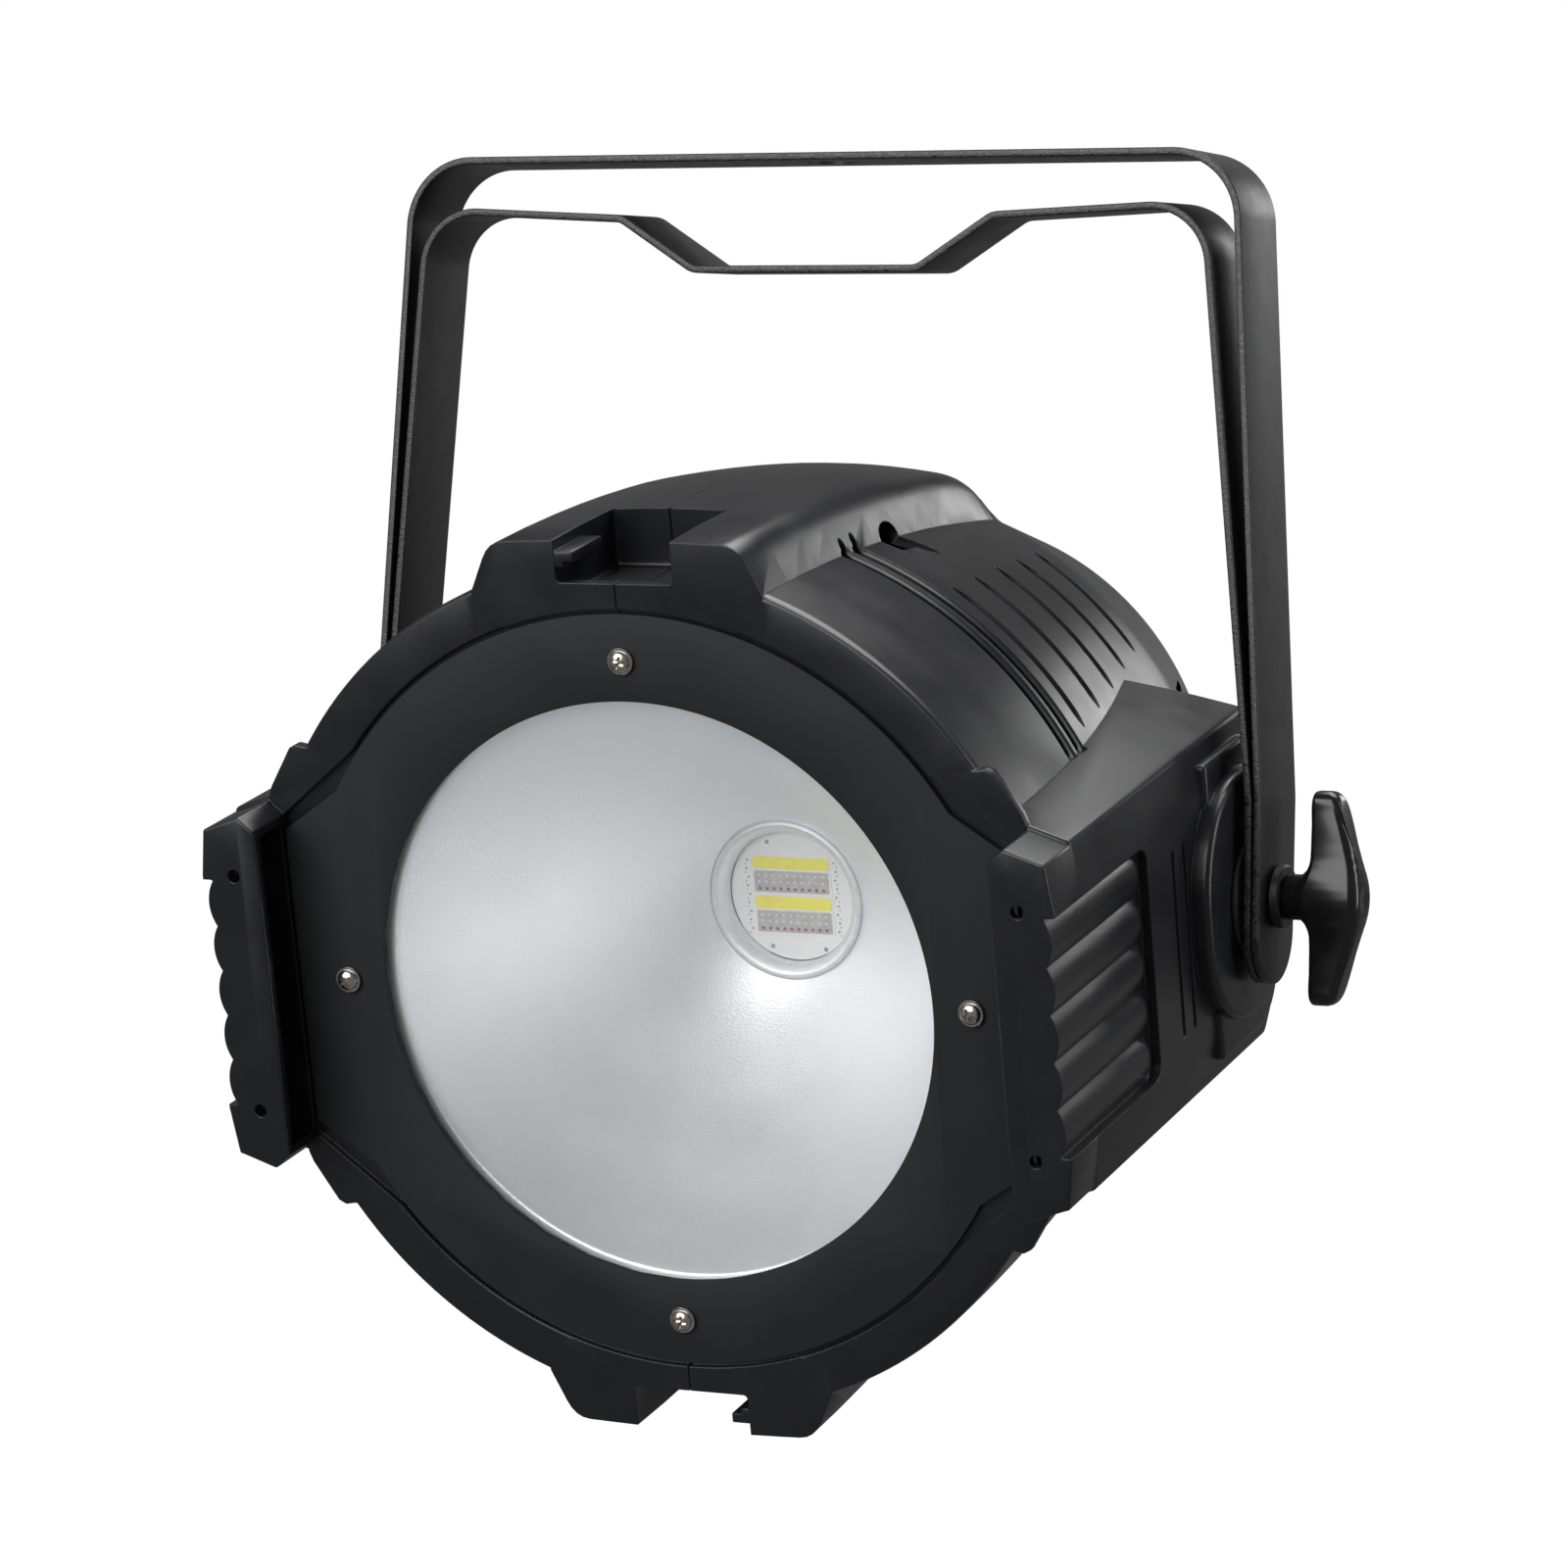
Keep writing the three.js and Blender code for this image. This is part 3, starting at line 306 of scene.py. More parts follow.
HOUSING = finish("moulded_black_plastic", (0.0085, 0.009, 0.0112), (0.0105, 0.011, 0.0132), (0.27, 0.35),
                 grain=0.7, depth=0.012, bevel_mm=0.7)
PAINT = finish("black_powder_coat", (0.009, 0.0092, 0.01), (0.0115, 0.0118, 0.0125), (0.36, 0.46),
               patch=9, grain=0.9, depth=0.03)
EDGE = finish("speckled_cut_edge", (0.005, 0.005, 0.0055), (0.035, 0.034, 0.034), (0.2, 0.5),
              patch=1.5, grain=0.9, depth=0.12)
PLATE = finish("matte_black_plate", (0.0135, 0.0143, 0.0158), (0.0155, 0.0163, 0.0178), (0.6, 0.7),
               patch=25, grain=0.4, depth=0.01, specular=0.35)
KNOB = finish("gloss_black_plastic", (0.007, 0.007, 0.008), (0.009, 0.009, 0.01), (0.16, 0.24),
              patch=12, grain=3.0, depth=0.01)
NYLON = finish("black_nylon", (0.008, 0.008, 0.009), (0.012, 0.012, 0.0125), (0.35, 0.48),
               patch=6, grain=0.5, depth=0.01)
NICKEL = finish("black_nickel", (0.5, 0.46, 0.43), (0.66, 0.62, 0.58), (0.18, 0.3), 1.0,
                patch=1.6, grain=0.3, depth=0.004)
STEEL = finish("zinc_plated_steel", (0.5, 0.5, 0.51), (0.62, 0.62, 0.63), (0.24, 0.36), 1.0,
               patch=7, grain=0.4, depth=0.006)
ALUMINIUM = finish("sandblasted_aluminium", (0.88, 0.89, 0.91), (0.92, 0.93, 0.945), (0.42, 0.5), 0.8,
                   patch=30, grain=0.75, depth=0.1)
BEZEL = finish("rough_bright_aluminium", (0.8, 0.81, 0.83), (0.9, 0.91, 0.93), (0.4, 0.52), 0.7,
               patch=2, grain=0.5, depth=0.14)
DARK_ALUMINIUM = finish("extruded_aluminium", (0.5, 0.51, 0.53), (0.6, 0.61, 0.63), (0.3, 0.42), 1.0)
RUBBER = finish("black_rubber", (0.01, 0.01, 0.01), (0.016, 0.016, 0.016), (0.7, 0.85), depth=0.02)
CERAMIC = finish("white_led_board", (0.88, 0.88, 0.88), (0.93, 0.93, 0.92), (0.3, 0.4),
                 patch=5, depth=0.004)
PHOSPHOR = finish("yellow_phosphor", (0.95, 0.84, 0.04), (1.0, 0.92, 0.1), (0.3, 0.42),
                  patch=2.6, grain=1.3, depth=0.05)
GEL = finish("grey_chip_gel", (0.42, 0.41, 0.4), (0.56, 0.55, 0.54), (0.12, 0.2), patch=2.6, grain=1.3,
             depth=0.04)
CHIP = finish("pale_chip", (0.68, 0.68, 0.62), (0.8, 0.8, 0.76), (0.2, 0.3), patch=1)
RED_CHIP = finish("red_chip", (0.28, 0.05, 0.06), (0.42, 0.09, 0.1), (0.2, 0.3), patch=1)
PAD = finish("solder_pad", (0.3, 0.3, 0.31), (0.5, 0.5, 0.5), (0.3, 0.4), 0.6, patch=1)
BOARD = finish("green_circuit_board", (0.008, 0.05, 0.02), (0.012, 0.08, 0.03), (0.3, 0.45), patch=5)
DISPLAY = finish("dark_display_filter", (0.02, 0.002, 0.002), (0.03, 0.003, 0.003), (0.05, 0.09), patch=20)
LIT = finish("display_segment", (0.35, 0.02, 0.015), (0.45, 0.03, 0.02), (0.3, 0.4), patch=2)
GLASS = finish("clear_glass", (0.9, 0.94, 0.94), (0.94, 0.97, 0.97), (0.01, 0.03), patch=60, grain=8,
               depth=0.002)
GLASS.node_tree.nodes["Principled BSDF"].inputs["Alpha"].default_value = 0.08


def place_piece(obj, name, matrix, body, materials, node, smooth=32):
    """Puts a finished piece in the row's frame, on a body, in place of its CAD node."""
    obj.name = name
    obj.data.name = name
    obj.data.transform(matrix)
    obj.data.polygons.foreach_set("use_smooth", [True] * len(obj.data.polygons))
    obj.data.set_sharp_from_angle(angle=math.radians(smooth))
    chosen = [polygon.material_index for polygon in obj.data.polygons]
    obj.data.materials.clear()
    for material in materials:
        obj.data.materials.append(material)
    obj.data.polygons.foreach_set("material_index", chosen)
    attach(obj, body)
    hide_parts(node)


def head_piece(obj, name, materials, node, smooth=32):
    """Puts a finished piece on the head."""
    place_piece(obj, name, HEAD, "head", materials, node, smooth=smooth)


def paint_all(obj, index):
    """Gives every face one of the piece's materials."""
    obj.data.polygons.foreach_set("material_index", [index] * len(obj.data.polygons))
    return obj


def paint_part(obj, index, chosen):
    """Gives the faces for which chosen(centre, normal) holds another material."""
    for polygon in obj.data.polygons:
        if chosen(polygon.center, polygon.normal):
            polygon.material_index = index


# ------------------------------------------------------------------ camera
AZIMUTH = 24.566  # from -Y towards +X
ELEVATION = 2.666
ROLL = 0.892
DISTANCE = 1.9007
TARGET = Vector((-0.01213, -0.00396, -0.21208))
LENS = 128.9


def make_camera():
    """The camera of the main view, which looks at TARGET."""
    data = bpy.data.cameras.new("camera")
    data.lens = LENS
    data.sensor_width = 36
    camera = bpy.data.objects.new("camera", data)
    bpy.context.scene.collection.objects.link(camera)
    azimuth, elevation = math.radians(AZIMUTH), math.radians(ELEVATION)
    level = math.cos(elevation)
    back = Vector((math.sin(azimuth) * level, -math.cos(azimuth) * level, math.sin(elevation)))
    aim = (-back).to_track_quat("-Z", "Y").to_matrix().to_4x4()
    roll = Matrix.Rotation(math.radians(ROLL), 4, "Z")
    camera.matrix_world = Matrix.Translation(TARGET + DISTANCE * back) @ aim @ roll
    bpy.context.scene.camera = camera


make_camera()


# ------------------------------------------------------------------ housing
ROUND_STEPS = 240
TURN_HALF = 5  # half the length over which the barrel rounds into the rear cone
RECESS_R = PLATE_R + 1.4
RECESS_FLOOR = 2.3
GLASS_SEAT_R = 105
GLASS_SEAT_END = 7.3
PANEL_HOLE_R = 89.1
LEDGE_R = 80.5
LEDGE_Y = 256
SPINE_HALF_TOP = 43
SPINE_HALF_BASE = 50.5
SPINE_RISE = 13.4
SPINE_TURN = 150
SPINE_END = 194
PAD_X = 155
PLATEAU_X = 150.4
RIB_COUNT = 5
RIB_PITCH = 15.2
RIB_R = 14.2
RIB_TOP = 1.5
RIB_RECESS_DEPTH = 3.9
RIB_RECESS_HALF_Z = 38.5
RIB_RECESS_END = 58
SLOT_YS = (65, 74)
SLOT_WIDTH = 3.8
SLIT_YS = (80, 90)
GROOVES = {87: 60, 108: 59.2, 130: 58.2, 152: 56.9, 173.5: 55.7}  # y, and the angle at which it ends
GROOVE_START = 34
LATCH_HALF = 20.3
LATCH_END = 43.5
VENT_COUNT = 5


def barrel_r(y):
    """Outer radius of the barrel, which bulges, and of the straight cone behind it."""
    if y <= BARREL_END:
        return RING_R - BARREL_BULGE * y * y
    start = RING_R - BARREL_BULGE * BARREL_END**2
    return start + (REAR_R - start) * (y - BARREL_END) / (REAR_END - BARREL_END)


def soft_barrel_r(y):
    """The same radius, with the turn into the cone rounded."""
    if abs(y - BARREL_END) > TURN_HALF:
        return barrel_r(y)
    t = (y - BARREL_END + TURN_HALF) / (2 * TURN_HALF)
    ends = barrel_r(BARREL_END - TURN_HALF), barrel_r(BARREL_END), barrel_r(BARREL_END + TURN_HALF)
    return (1 - t) ** 2 * ends[0] + 2 * t * (1 - t) * ends[1] + t * t * ends[2]


def barrel_stations():
    """Places along the barrel at which its outline has a point."""
    front = list(np.linspace(4, BARREL_END - TURN_HALF, 24))
    turn = list(np.linspace(BARREL_END - TURN_HALF, BARREL_END + TURN_HALF, 7))[1:]
    return front + turn + list(np.linspace(BARREL_END + TURN_HALF, REAR_END - 2.5, 7))[1:]


def barrel_wall():
    """Wall of the barrel, with the seats of the front plate, glass and rear panel."""
    ys = barrel_stations()
    front = [(RECESS_R, 0.5), (RECESS_R + 0.5, 0), (RING_R - 1.3, 0), (RING_R - 0.5, 0.35), (RING_R, 1.2)]
    outside = [(soft_barrel_r(y), y) for y in ys]
    rear = [(REAR_R - 0.4, REAR_END - 0.9), (REAR_R - 1.6, REAR_END)]
    rear += [(PANEL_HOLE_R + 0.5, REAR_END), (PANEL_HOLE_R, REAR_END - 0.5)]
    rear += [(PANEL_HOLE_R, LEDGE_Y), (LEDGE_R, LEDGE_Y), (LEDGE_R, LEDGE_Y - 3)]
    inside = [(soft_barrel_r(y) - WALL, y) for y in reversed(ys) if 8 < y < LEDGE_Y - 4]
    seats = [(RING_R - WALL, GLASS_SEAT_END), (GLASS_SEAT_R, GLASS_SEAT_END)]
    seats += [(GLASS_SEAT_R, RECESS_FLOOR), (RECESS_R, RECESS_FLOOR)]
    return lathe(front + outside + rear + inside + seats, ROUND_STEPS)


def barrel_bore():
    """Room inside the barrel, to the middle of its wall."""
    middle = WALL / 2
    side = [(soft_barrel_r(y) - middle, y) for y in barrel_stations()]
    return lathe([(0, middle), (RING_R - middle, middle), *side, (0, REAR_END - 2.5)], ROUND_STEPS)


def spine_section(y):
    """The spine's outline at y: flank, rounded shoulder and crown, the same on both sides."""
    r = soft_barrel_r(y)
    turned = max(0, y - SPINE_TURN) / (SPINE_END - SPINE_TURN)
    fade = math.sqrt(max(0, 1 - turned**3))
    barrel_z = math.sqrt(r * r - SPINE_HALF_TOP**2)
    edge = barrel_z + SPINE_RISE * fade
    crown = float(np.interp(y, [0, 42, 75, 104, 134], [1, 2.2, 4, 4.6, 3.6]))
    rise = crown * fade + (r - barrel_z) * (1 - fade)
    foot = math.sqrt(r * r - SPINE_HALF_BASE**2)
    low = math.sqrt((r - 11) ** 2 - SPINE_HALF_BASE**2)
    corner = Vector((SPINE_HALF_TOP, edge))
    down = corner.lerp(Vector((SPINE_HALF_BASE, foot)), 0.35)
    across = Vector((SPINE_HALF_TOP * 0.88, edge + rise * (1 - 0.88**2)))
    half = [(SPINE_HALF_BASE, low), (SPINE_HALF_BASE, foot)]
    for t in (0, 0.25, 0.5, 0.75, 1):
        half.append(tuple(down * (1 - t) ** 2 + corner * 2 * t * (1 - t) + across * t * t))
    half += [(SPINE_HALF_TOP * (1 - t), edge + rise * (1 - (1 - t) ** 2)) for t in (0.3, 0.5, 0.65, 0.8)]
    outline = half + [(0, edge + rise)] + [(-x, z) for x, z in reversed(half)]
    return [(x, y, z) for x, z in outline]


def spine():
    """Raised spine along the top, rounded down to the barrel at its rear."""
    rear = [SPINE_TURN + (SPINE_END - SPINE_TURN) * math.sin(a) for a in np.radians(range(0, 91, 9))]
    ys = [0, 20, 42, 60, 75, 90, 104, 119, 134, *rear]
    return bevel(loft([spine_section(y) for y in ys]), 1.2, 3, 28)


def whole_outline(upper):
    """An outline in X and Z from its upper half."""
    return [(x, -z) for x, z in reversed(upper)] + upper


def side_block():
    """Side block: straight at the front, rounded at the back, with a crowned outer face."""
    root_x, slope, r = 80, 0.33, 50
    root_z = BLOCK_HALF_Z + slope * (BLOCK_EDGE_X - root_x)
    upper = [(BLOCK_X, 40), (BLOCK_EDGE_X, BLOCK_HALF_Z), (root_x, root_z)]
    block = bevel(prism(whole_outline(upper), "Y", 0.5, BLOCK_END), 1.2, 3, 20)
    top = BLOCK_HALF_Z + 19.5
    side = [(0, -top), *arc(BLOCK_END - r, r - top, r, -90, 0, 16)]
    side += [*arc(BLOCK_END - r, top - r, r, 0, 90, 16), (0, top)]
    return combine(block, "INTERSECT", [prism(side, "X", root_x - 10, BLOCK_X + 11.5)])


def flange():
    """Accessory flange, with the channel behind it and its two small holes."""
    upper = [(BLOCK_X, 39.9), (146.3, 55.4), (145.1, 55.6), (133.2, 59.8), (127.6, 54.9)]
    plate = bevel(prism(whole_outline(upper), "Y", FLANGE_Y, 1.5), 0.7, 3, 30)
    channel = box(100, CHANNEL_X, FLANGE_Y + 3, 0, -52.5, 52.5)
    holes = [rod_y(2.2, FLANGE_Y - 1, FLANGE_Y + 5, 136.6, z, 24) for z in (-40, 40)]
    return combine(plate, "DIFFERENCE", [channel, *holes])


def cheek():
    """Web that fills the corner between the front ring and the upper end of the flange."""
    outline = [(103.8, 77.9), (117.8, 78.4), (120.8, 79), (123.4, 77.6)]
    outline += [(131.5, 64.6), (133, 60.8), (128, 50), (106, 50)]
    return bevel(prism(outline, "Y", 0.0, 4), 0.6, 3, 30)


def pivot_pad():
    """Plateau on the block's face, and the round pad that the friction washer bears on."""
    pad = bevel(prism(rounded_rect(PIVOT_BACK, 1, 39, 41, 36), "X", 118, PAD_X), 2.2, 4, 40)
    outline = [(109, -50), *arc(144, -28, 22, -90, 0), *arc(144, 28, 22, 0, 90), (109, 50)]
    return [bevel(prism(outline, "X", 120, PLATEAU_X), 1.6, 4, 40), pad]


def rib_recess():
    """Recess in the block's face, with rounded ribs left standing in it."""
    front = FLANGE_Y - 9
    middle, half = (front + RIB_RECESS_END) / 2, (RIB_RECESS_END - front) / 2
    outline = rounded_rect(middle, 0, half, RIB_RECESS_HALF_Z, 6)
    recess = bevel(prism(outline, "X", BLOCK_X - RIB_RECESS_DEPTH, BLOCK_X + 4), 0.9, 3)
    end, rounding = RIB_RECESS_END - 1.2, 5
    turn = np.radians(np.linspace(0, 85, 9))
    profile = [(0, FLANGE_Y - 12), (RIB_R, FLANGE_Y - 12)]
    profile += [(RIB_R - rounding * (1 - math.cos(a)), end - rounding * (1 - math.sin(a))) for a in turn]
    profile.append((0, end))
    ribs = []
    for i in range(RIB_COUNT):
        z = RIB_PITCH * (i - (RIB_COUNT - 1) / 2)
        ribs.append(move(lathe(profile, 120), BLOCK_X - RIB_TOP - RIB_R, 0, z))
    return combine(recess, "DIFFERENCE", ribs)


def arc_slot(y, start, end):
    """A slot through the barrel wall with round ends, between two angles from the top."""
    steps = 40
    inner, outer = RING_R - 16, RING_R + 12
    ring = arc(0, 0, outer, 90 - start, 90 - end, steps) + arc(0, 0, inner, 90 - end, 90 - start, steps)
    pieces = [prism(ring, "Y", y - SLOT_WIDTH / 2, y + SLOT_WIDTH / 2)]
    for angle in (start, end):
        rod = rod_y(SLOT_WIDTH / 2, inner, outer, steps=24)
        turn = Matrix.Rotation(-math.radians(angle), 4, "Y")
        upright = Matrix.Rotation(math.pi / 2, 4, "X")
        rod.data.transform(Matrix.Translation((0, y, 0)) @ turn.inverted() @ upright)
        pieces.append(rod)
    return pieces


def slot_rim(y, start, end):
    """A shallow rounded trough round a slot, up the spine's flank at its top end."""
    depth, half, sides = 1.7, 3.6, 12
    flank = SPINE_HALF_BASE - 0.4
    sections = []
    for angle in np.linspace(start, end, 48):
        a = math.radians(angle)
        r = max(soft_barrel_r(y), flank / math.sin(a)) if angle < 24 else soft_barrel_r(y)
        section = []
        for k in range(sides):
            t = 2 * math.pi * k / sides
            reach = r + depth * math.cos(t)
            section.append((reach * math.sin(a), y + half * math.sin(t), reach * math.cos(a)))
        sections.append(section)
    return loft(sections)


def fine_groove(y, end):
    """A shallow groove round the barrel that narrows at both ends."""
    sides, steps = 10, 24
    centre = soft_barrel_r(y) - 0.1
    sections = []
    for i in range(steps + 1):
        t = i / steps
        angle = math.radians(GROOVE_START + (end - GROOVE_START) * t)
        thick = 2.1 * min(1, 0.25 + 8 * t, 0.25 + 12 * (1 - t))
        section = []
        for k in range(sides):
            a = 2 * math.pi * k / sides
            r = centre + thick * math.cos(a)
            section.append((r * math.sin(angle), y + thick * math.sin(a), r * math.cos(angle)))
        sections.append(section)
    return loft(sections)


def screw_pocket():
    """Oval recess in the spine's flank, with the channel that leads a driver to it."""
    oval = rod_x(1, 40, 64)
    oval.data.transform(Matrix.Translation((0, 100, 126.5)) @ Matrix.Diagonal((1, 7.2, 4.8, 1)))
    low, high = Vector((48, 101, 126)), Vector((63, 110.5, 120))
    path = rod_y(1, -0.5, 0.5, steps=24)
    path.data.transform(Matrix.Diagonal((4.2, (high - low).length, 4.2, 1)))
    for vertex in path.data.vertices:
        if vertex.co.y > 0:
            vertex.co.x *= 0.5
            vertex.co.z *= 0.5
    path.data.transform((high - low).to_track_quat("Y", "Z").to_matrix().to_4x4())
    return [oval, move(path, *((low + high) / 2))]


def barrel_cuts():
    """Screw pocket, slots and grooves in the upper half of the barrel."""
    cuts = screw_pocket()
    for y in SLOT_YS:
        cuts += arc_slot(y, 20.4, 61.5)
        cuts.append(slot_rim(y, 19.2, 62.6))
    return cuts + [fine_groove(y, end) for y, end in GROOVES.items()]


def plate_recess():
    """Recess for the front plate: a disc with an ear on each side."""
    ear_x, ear_z = 129.4, 54
    upper = arc(0, 0, RECESS_R, 38, 142, 60)
    outline = upper + [(-ear_x, ear_z), (-ear_x, -ear_z)]
    outline += [(-x, -z) for x, z in upper] + [(ear_x, -ear_z), (ear_x, ear_z)]
    return prism(outline, "Y", -0.5, RECESS_FLOOR)


def rear_vents():
    """Vent slots through the rear cone, on its outer side."""
    vents = []
    for i in range(VENT_COUNT):
        vent = bevel(box(94, RING_R - 1, 208, 236, -1.8, 1.8), 1.4, 3)
        angle = math.radians(12 * (i - (VENT_COUNT - 1) / 2))
        vents.append(move(vent, turn=Matrix.Rotation(angle, 4, "Y")))
    return vents


def latch_hook():
    """Small hook that stands below the lower latch pocket."""
    outline = [(13.9, -144.8), (21.5, -144.8), (21.5, -139.5)]
    outline += [(17.4, -139.5), (17.4, -141.4), (13.9, -141.4)]
    return bevel(prism(outline, "Y", 0.2, 22), 0.5, 2)


def with_mirror(pieces):
    """The pieces, then their mirror images below."""
    return pieces + [mirrored_z(piece) for piece in pieces]


def right_half():
    """The right moulding of the housing, whose lower side mirrors its upper side."""
    top = spine()
    added = [flange(), *pivot_pad(), *with_mirror([cheek()]), mirrored_z(top), top]
    body = combine(side_block(), "UNION", added)
    body = combine(body, "DIFFERENCE", [barrel_bore()])

    liner = box(-LATCH_HALF - WALL - 0.2, LATCH_HALF + WALL + 0.2, 1, LATCH_END + WALL, 126, 138)
    body = combine(body, "UNION", [barrel_wall(), mirrored_z(liner), liner])

    pocket = bevel(box(-LATCH_HALF, LATCH_HALF, -9, LATCH_END, 134.8, 175), 1.5, 3)
    well = bevel(box(-LATCH_HALF, LATCH_HALF, 4, LATCH_END, 129.5, 175), 1.5, 3)
    cuts = [*with_mirror([pocket]), *with_mirror([well]), plate_recess(), rib_recess()]
    cuts += [bevel(box(147.2, 160, y - 1.3, y + 1.3, -32, 30), 0.9, 2) for y in SLIT_YS]
    cuts += with_mirror(barrel_cuts()) + rear_vents()
    body = combine(body, "DIFFERENCE", cuts)

    body = combine(body, "UNION", [latch_hook()])
    return combine(body, "DIFFERENCE", [box(-400, 0.2, -100, 400, -400, 400)])


right = right_half()
left = copy_of(right, HALF_TURN_Y)
head_piece(right, "housing_right", [HOUSING], "right_shell")
head_piece(left, "housing_left", [HOUSING], "left_shell")


# ------------------------------------------------------------------ screws
def cross_recess(y, size, depth):
    """Cutters for a cross recess in a screw head whose face is at y."""
    arms = [box(-size, size, y - 1, y + depth, -0.5, 0.5), box(-0.5, 0.5, y - 1, y + depth, -size, size)]
    cone = lathe([(0, y - 1), (size * 0.55, y - 1), (size * 0.5, y), (0, y + depth * 1.2)], 16)
    return arms + [cone]


def pan_screw(r, height, length, washer=0.0):
    """A pan head screw along +Y with a cross recess: its head stands forward of y = 0."""
    shank = r * 0.55
    dome = [(0, -height)]
    for a in np.radians(range(10, 91, 10)):
        dome.append((r * math.sin(a), -height * (0.32 + 0.68 * math.cos(a) ** 1.1)))
    screw = lathe(dome + [(r, 0), (shank, 0), (shank, length), (0, length)], 40)
    screw = combine(screw, "DIFFERENCE", cross_recess(-height, r * 0.62, height * 0.55))
    if washer:
        hole = r * 0.6
        profile = [(hole, -0.55), (washer - 0.25, -0.55), (washer, -0.3), (washer, 0.25), (hole, 0.25)]
        join(screw, [lathe(profile, 40)])
    return screw


for i, side in enumerate(["top", "right", "bottom", "left"]):
    screw = pan_screw(3.5, 2.5, 6, 4.4)
    angle = i * math.pi / 2
    spin = Matrix.Rotation(math.radians(25 + 40 * i), 4, "Y")
    move(screw, SCREW_CIRCLE_R * math.sin(angle), -0.9, SCREW_CIRCLE_R * math.cos(angle), spin)
    head_piece(screw, f"front_screw_{side}_detail", [NICKEL], f"front_screw_{side}")

for name, matrix in (("shell_screw_top", HEAD), ("shell_screw_bottom", HEAD @ HALF_TURN_Y)):
    screw = move(pan_screw(4.1, 2.6, 40), 25.2, 99, 124, Matrix.Rotation(math.pi / 2, 4, "Z"))
    place_piece(screw, name + "_detail", matrix, "head", [NICKEL], name)


# ------------------------------------------------------------------ front: plate, glass, reflector, LED
def front_plate():
    """Disc with an ear on each side and the aperture in it."""
    ear_x, ear_z = 128, 50
    upper = arc(0, 0, PLATE_R, 30.7, 180 - 30.7, 90)
    outline = upper + [(-ear_x, ear_z), (-ear_x, -ear_z)]
    outline += [(-x, -z) for x, z in upper] + [(ear_x, -ear_z), (ear_x, ear_z)]
    plate = prism(outline, "Y", 0, PLATE_THICK)
    hole = rod_y(APERTURE_R, -1, PLATE_THICK + 2, steps=ROUND_STEPS)
    return bevel(combine(plate, "DIFFERENCE", [hole]), 0.35, 2, 40)


head_piece(front_plate(), "plate", [PLATE], "front_plate")

glass = lathe([(0, 3.8), (104, 3.8), (104.5, 4.3), (104.5, 6.3), (104, 6.8), (0, 6.8)], 160)
head_piece(glass, "front_glass", [GLASS], "glass_lens")

REFLECTOR_END = 104
REFLECTOR_APEX = 112.7
RIM_FRONT = 7.6
RIM_BACK = 9.2
RIM_R = 110.5


def reflector():
    """Parabolic bowl of thin sheet with a flat rim."""
    bowl = [(math.sqrt(90 * (REFLECTOR_APEX - y)), y) for y in np.linspace(8.4, REFLECTOR_END, 40)]
    outside = [(r + 1.2, y) for r, y in reversed(bowl[3:])]
    rim = [(bowl[0][0] + 2, RIM_BACK), (RIM_R, RIM_BACK), (RIM_R, RIM_FRONT)]
    return lathe([(97.9, RIM_FRONT), (97.3, RIM_FRONT + 0.3), *bowl, *outside, *rim], 200)


head_piece(reflector(), "reflector_bowl", [ALUMINIUM], "reflector")

BEZEL_R = 34
BEZEL_HOLE_R = 23
crest = [(27.5, 104.4), (27.2, 103.5), (26.6, 103.1), (25.9, 103.1), (25.0, 103.6), (23.8, 104.9)]
crest += [(23.1, 106.2), (BEZEL_HOLE_R, 107)]
bezel = lathe([(BEZEL_R, 104.4), *crest, (BEZEL_HOLE_R, 109.7), (BEZEL_R, 109.7)], 120)
head_piece(bezel, "led_bezel", [BEZEL], "cob_holder", smooth=50)


def dot(x, y, z, r, height):
    """A low round chip that stands forward of y."""
    return rod_y(r, y - height, y, x, z, 10, height * 0.4)


def led_board():
    """LED array: phosphor strips and strips of bare chips in turn, on a white board."""
    top = 109.4
    board = bevel(box(-20.5, 20.5, 110, 111.6, -20.5, 20.5), 0.2, 2)
    mask = rod_y(22.7, top + 0.2, 110, steps=96, edge=0.15)
    dam = bevel(prism(rounded_rect(0, 0, 14.6, 14.4, 1.2), "Y", top - 0.1, top + 0.3), 0.15, 2)
    layers = {0: [board, mask, dam], 1: [], 2: [], 3: [], 4: [], 5: []}
    for low, high in ((9.3, 13.4), (-4.7, -0.4)):
        strip = prism(rounded_rect(0, (low + high) / 2, 13.9, (high - low) / 2, 0.7), "Y", top - 0.55, top)
        layers[1].append(bevel(strip, 0.25, 3))
    for low, high in ((0.9, 8.4), (-13.1, -5.6)):
        strip = prism(rounded_rect(0, (low + high) / 2, 13.7, (high - low) / 2, 0.5), "Y", top - 0.35, top)
        layers[2].append(bevel(strip, 0.15, 2))
        for i in range(10):
            x = 2.6 * (i - 4.5)
            layers[3] += [dot(x, top - 0.3, low + z, 0.52, 0.25) for z in (3.7, 6.0)]
            layers[4].append(dot(x, top - 0.3, low + 1.3, 0.58, 0.3))
    for sign in (-1, 1):
        for i in range(9):
            z = 11.8 - 3 * i
            layers[5].append(dot(sign * (15.9 + 0.5 * (i % 2)), top + 0.2, z, 0.42, 0.12))
            layers[5].append(dot(sign * 16.8, top + 0.2, z - 1.4, 0.28, 0.12))
    layers[5] += [dot(x, top + 0.2, z, 0.8, 0.15) for x, z in ((-9, -18.2), (10.5, -18.6), (-8, 18.4))]
    whole = None
    for index, pieces in layers.items():
        first = paint_all(join(pieces[0], pieces[1:]), index)
        whole = first if whole is None else join(whole, [first])
    return whole


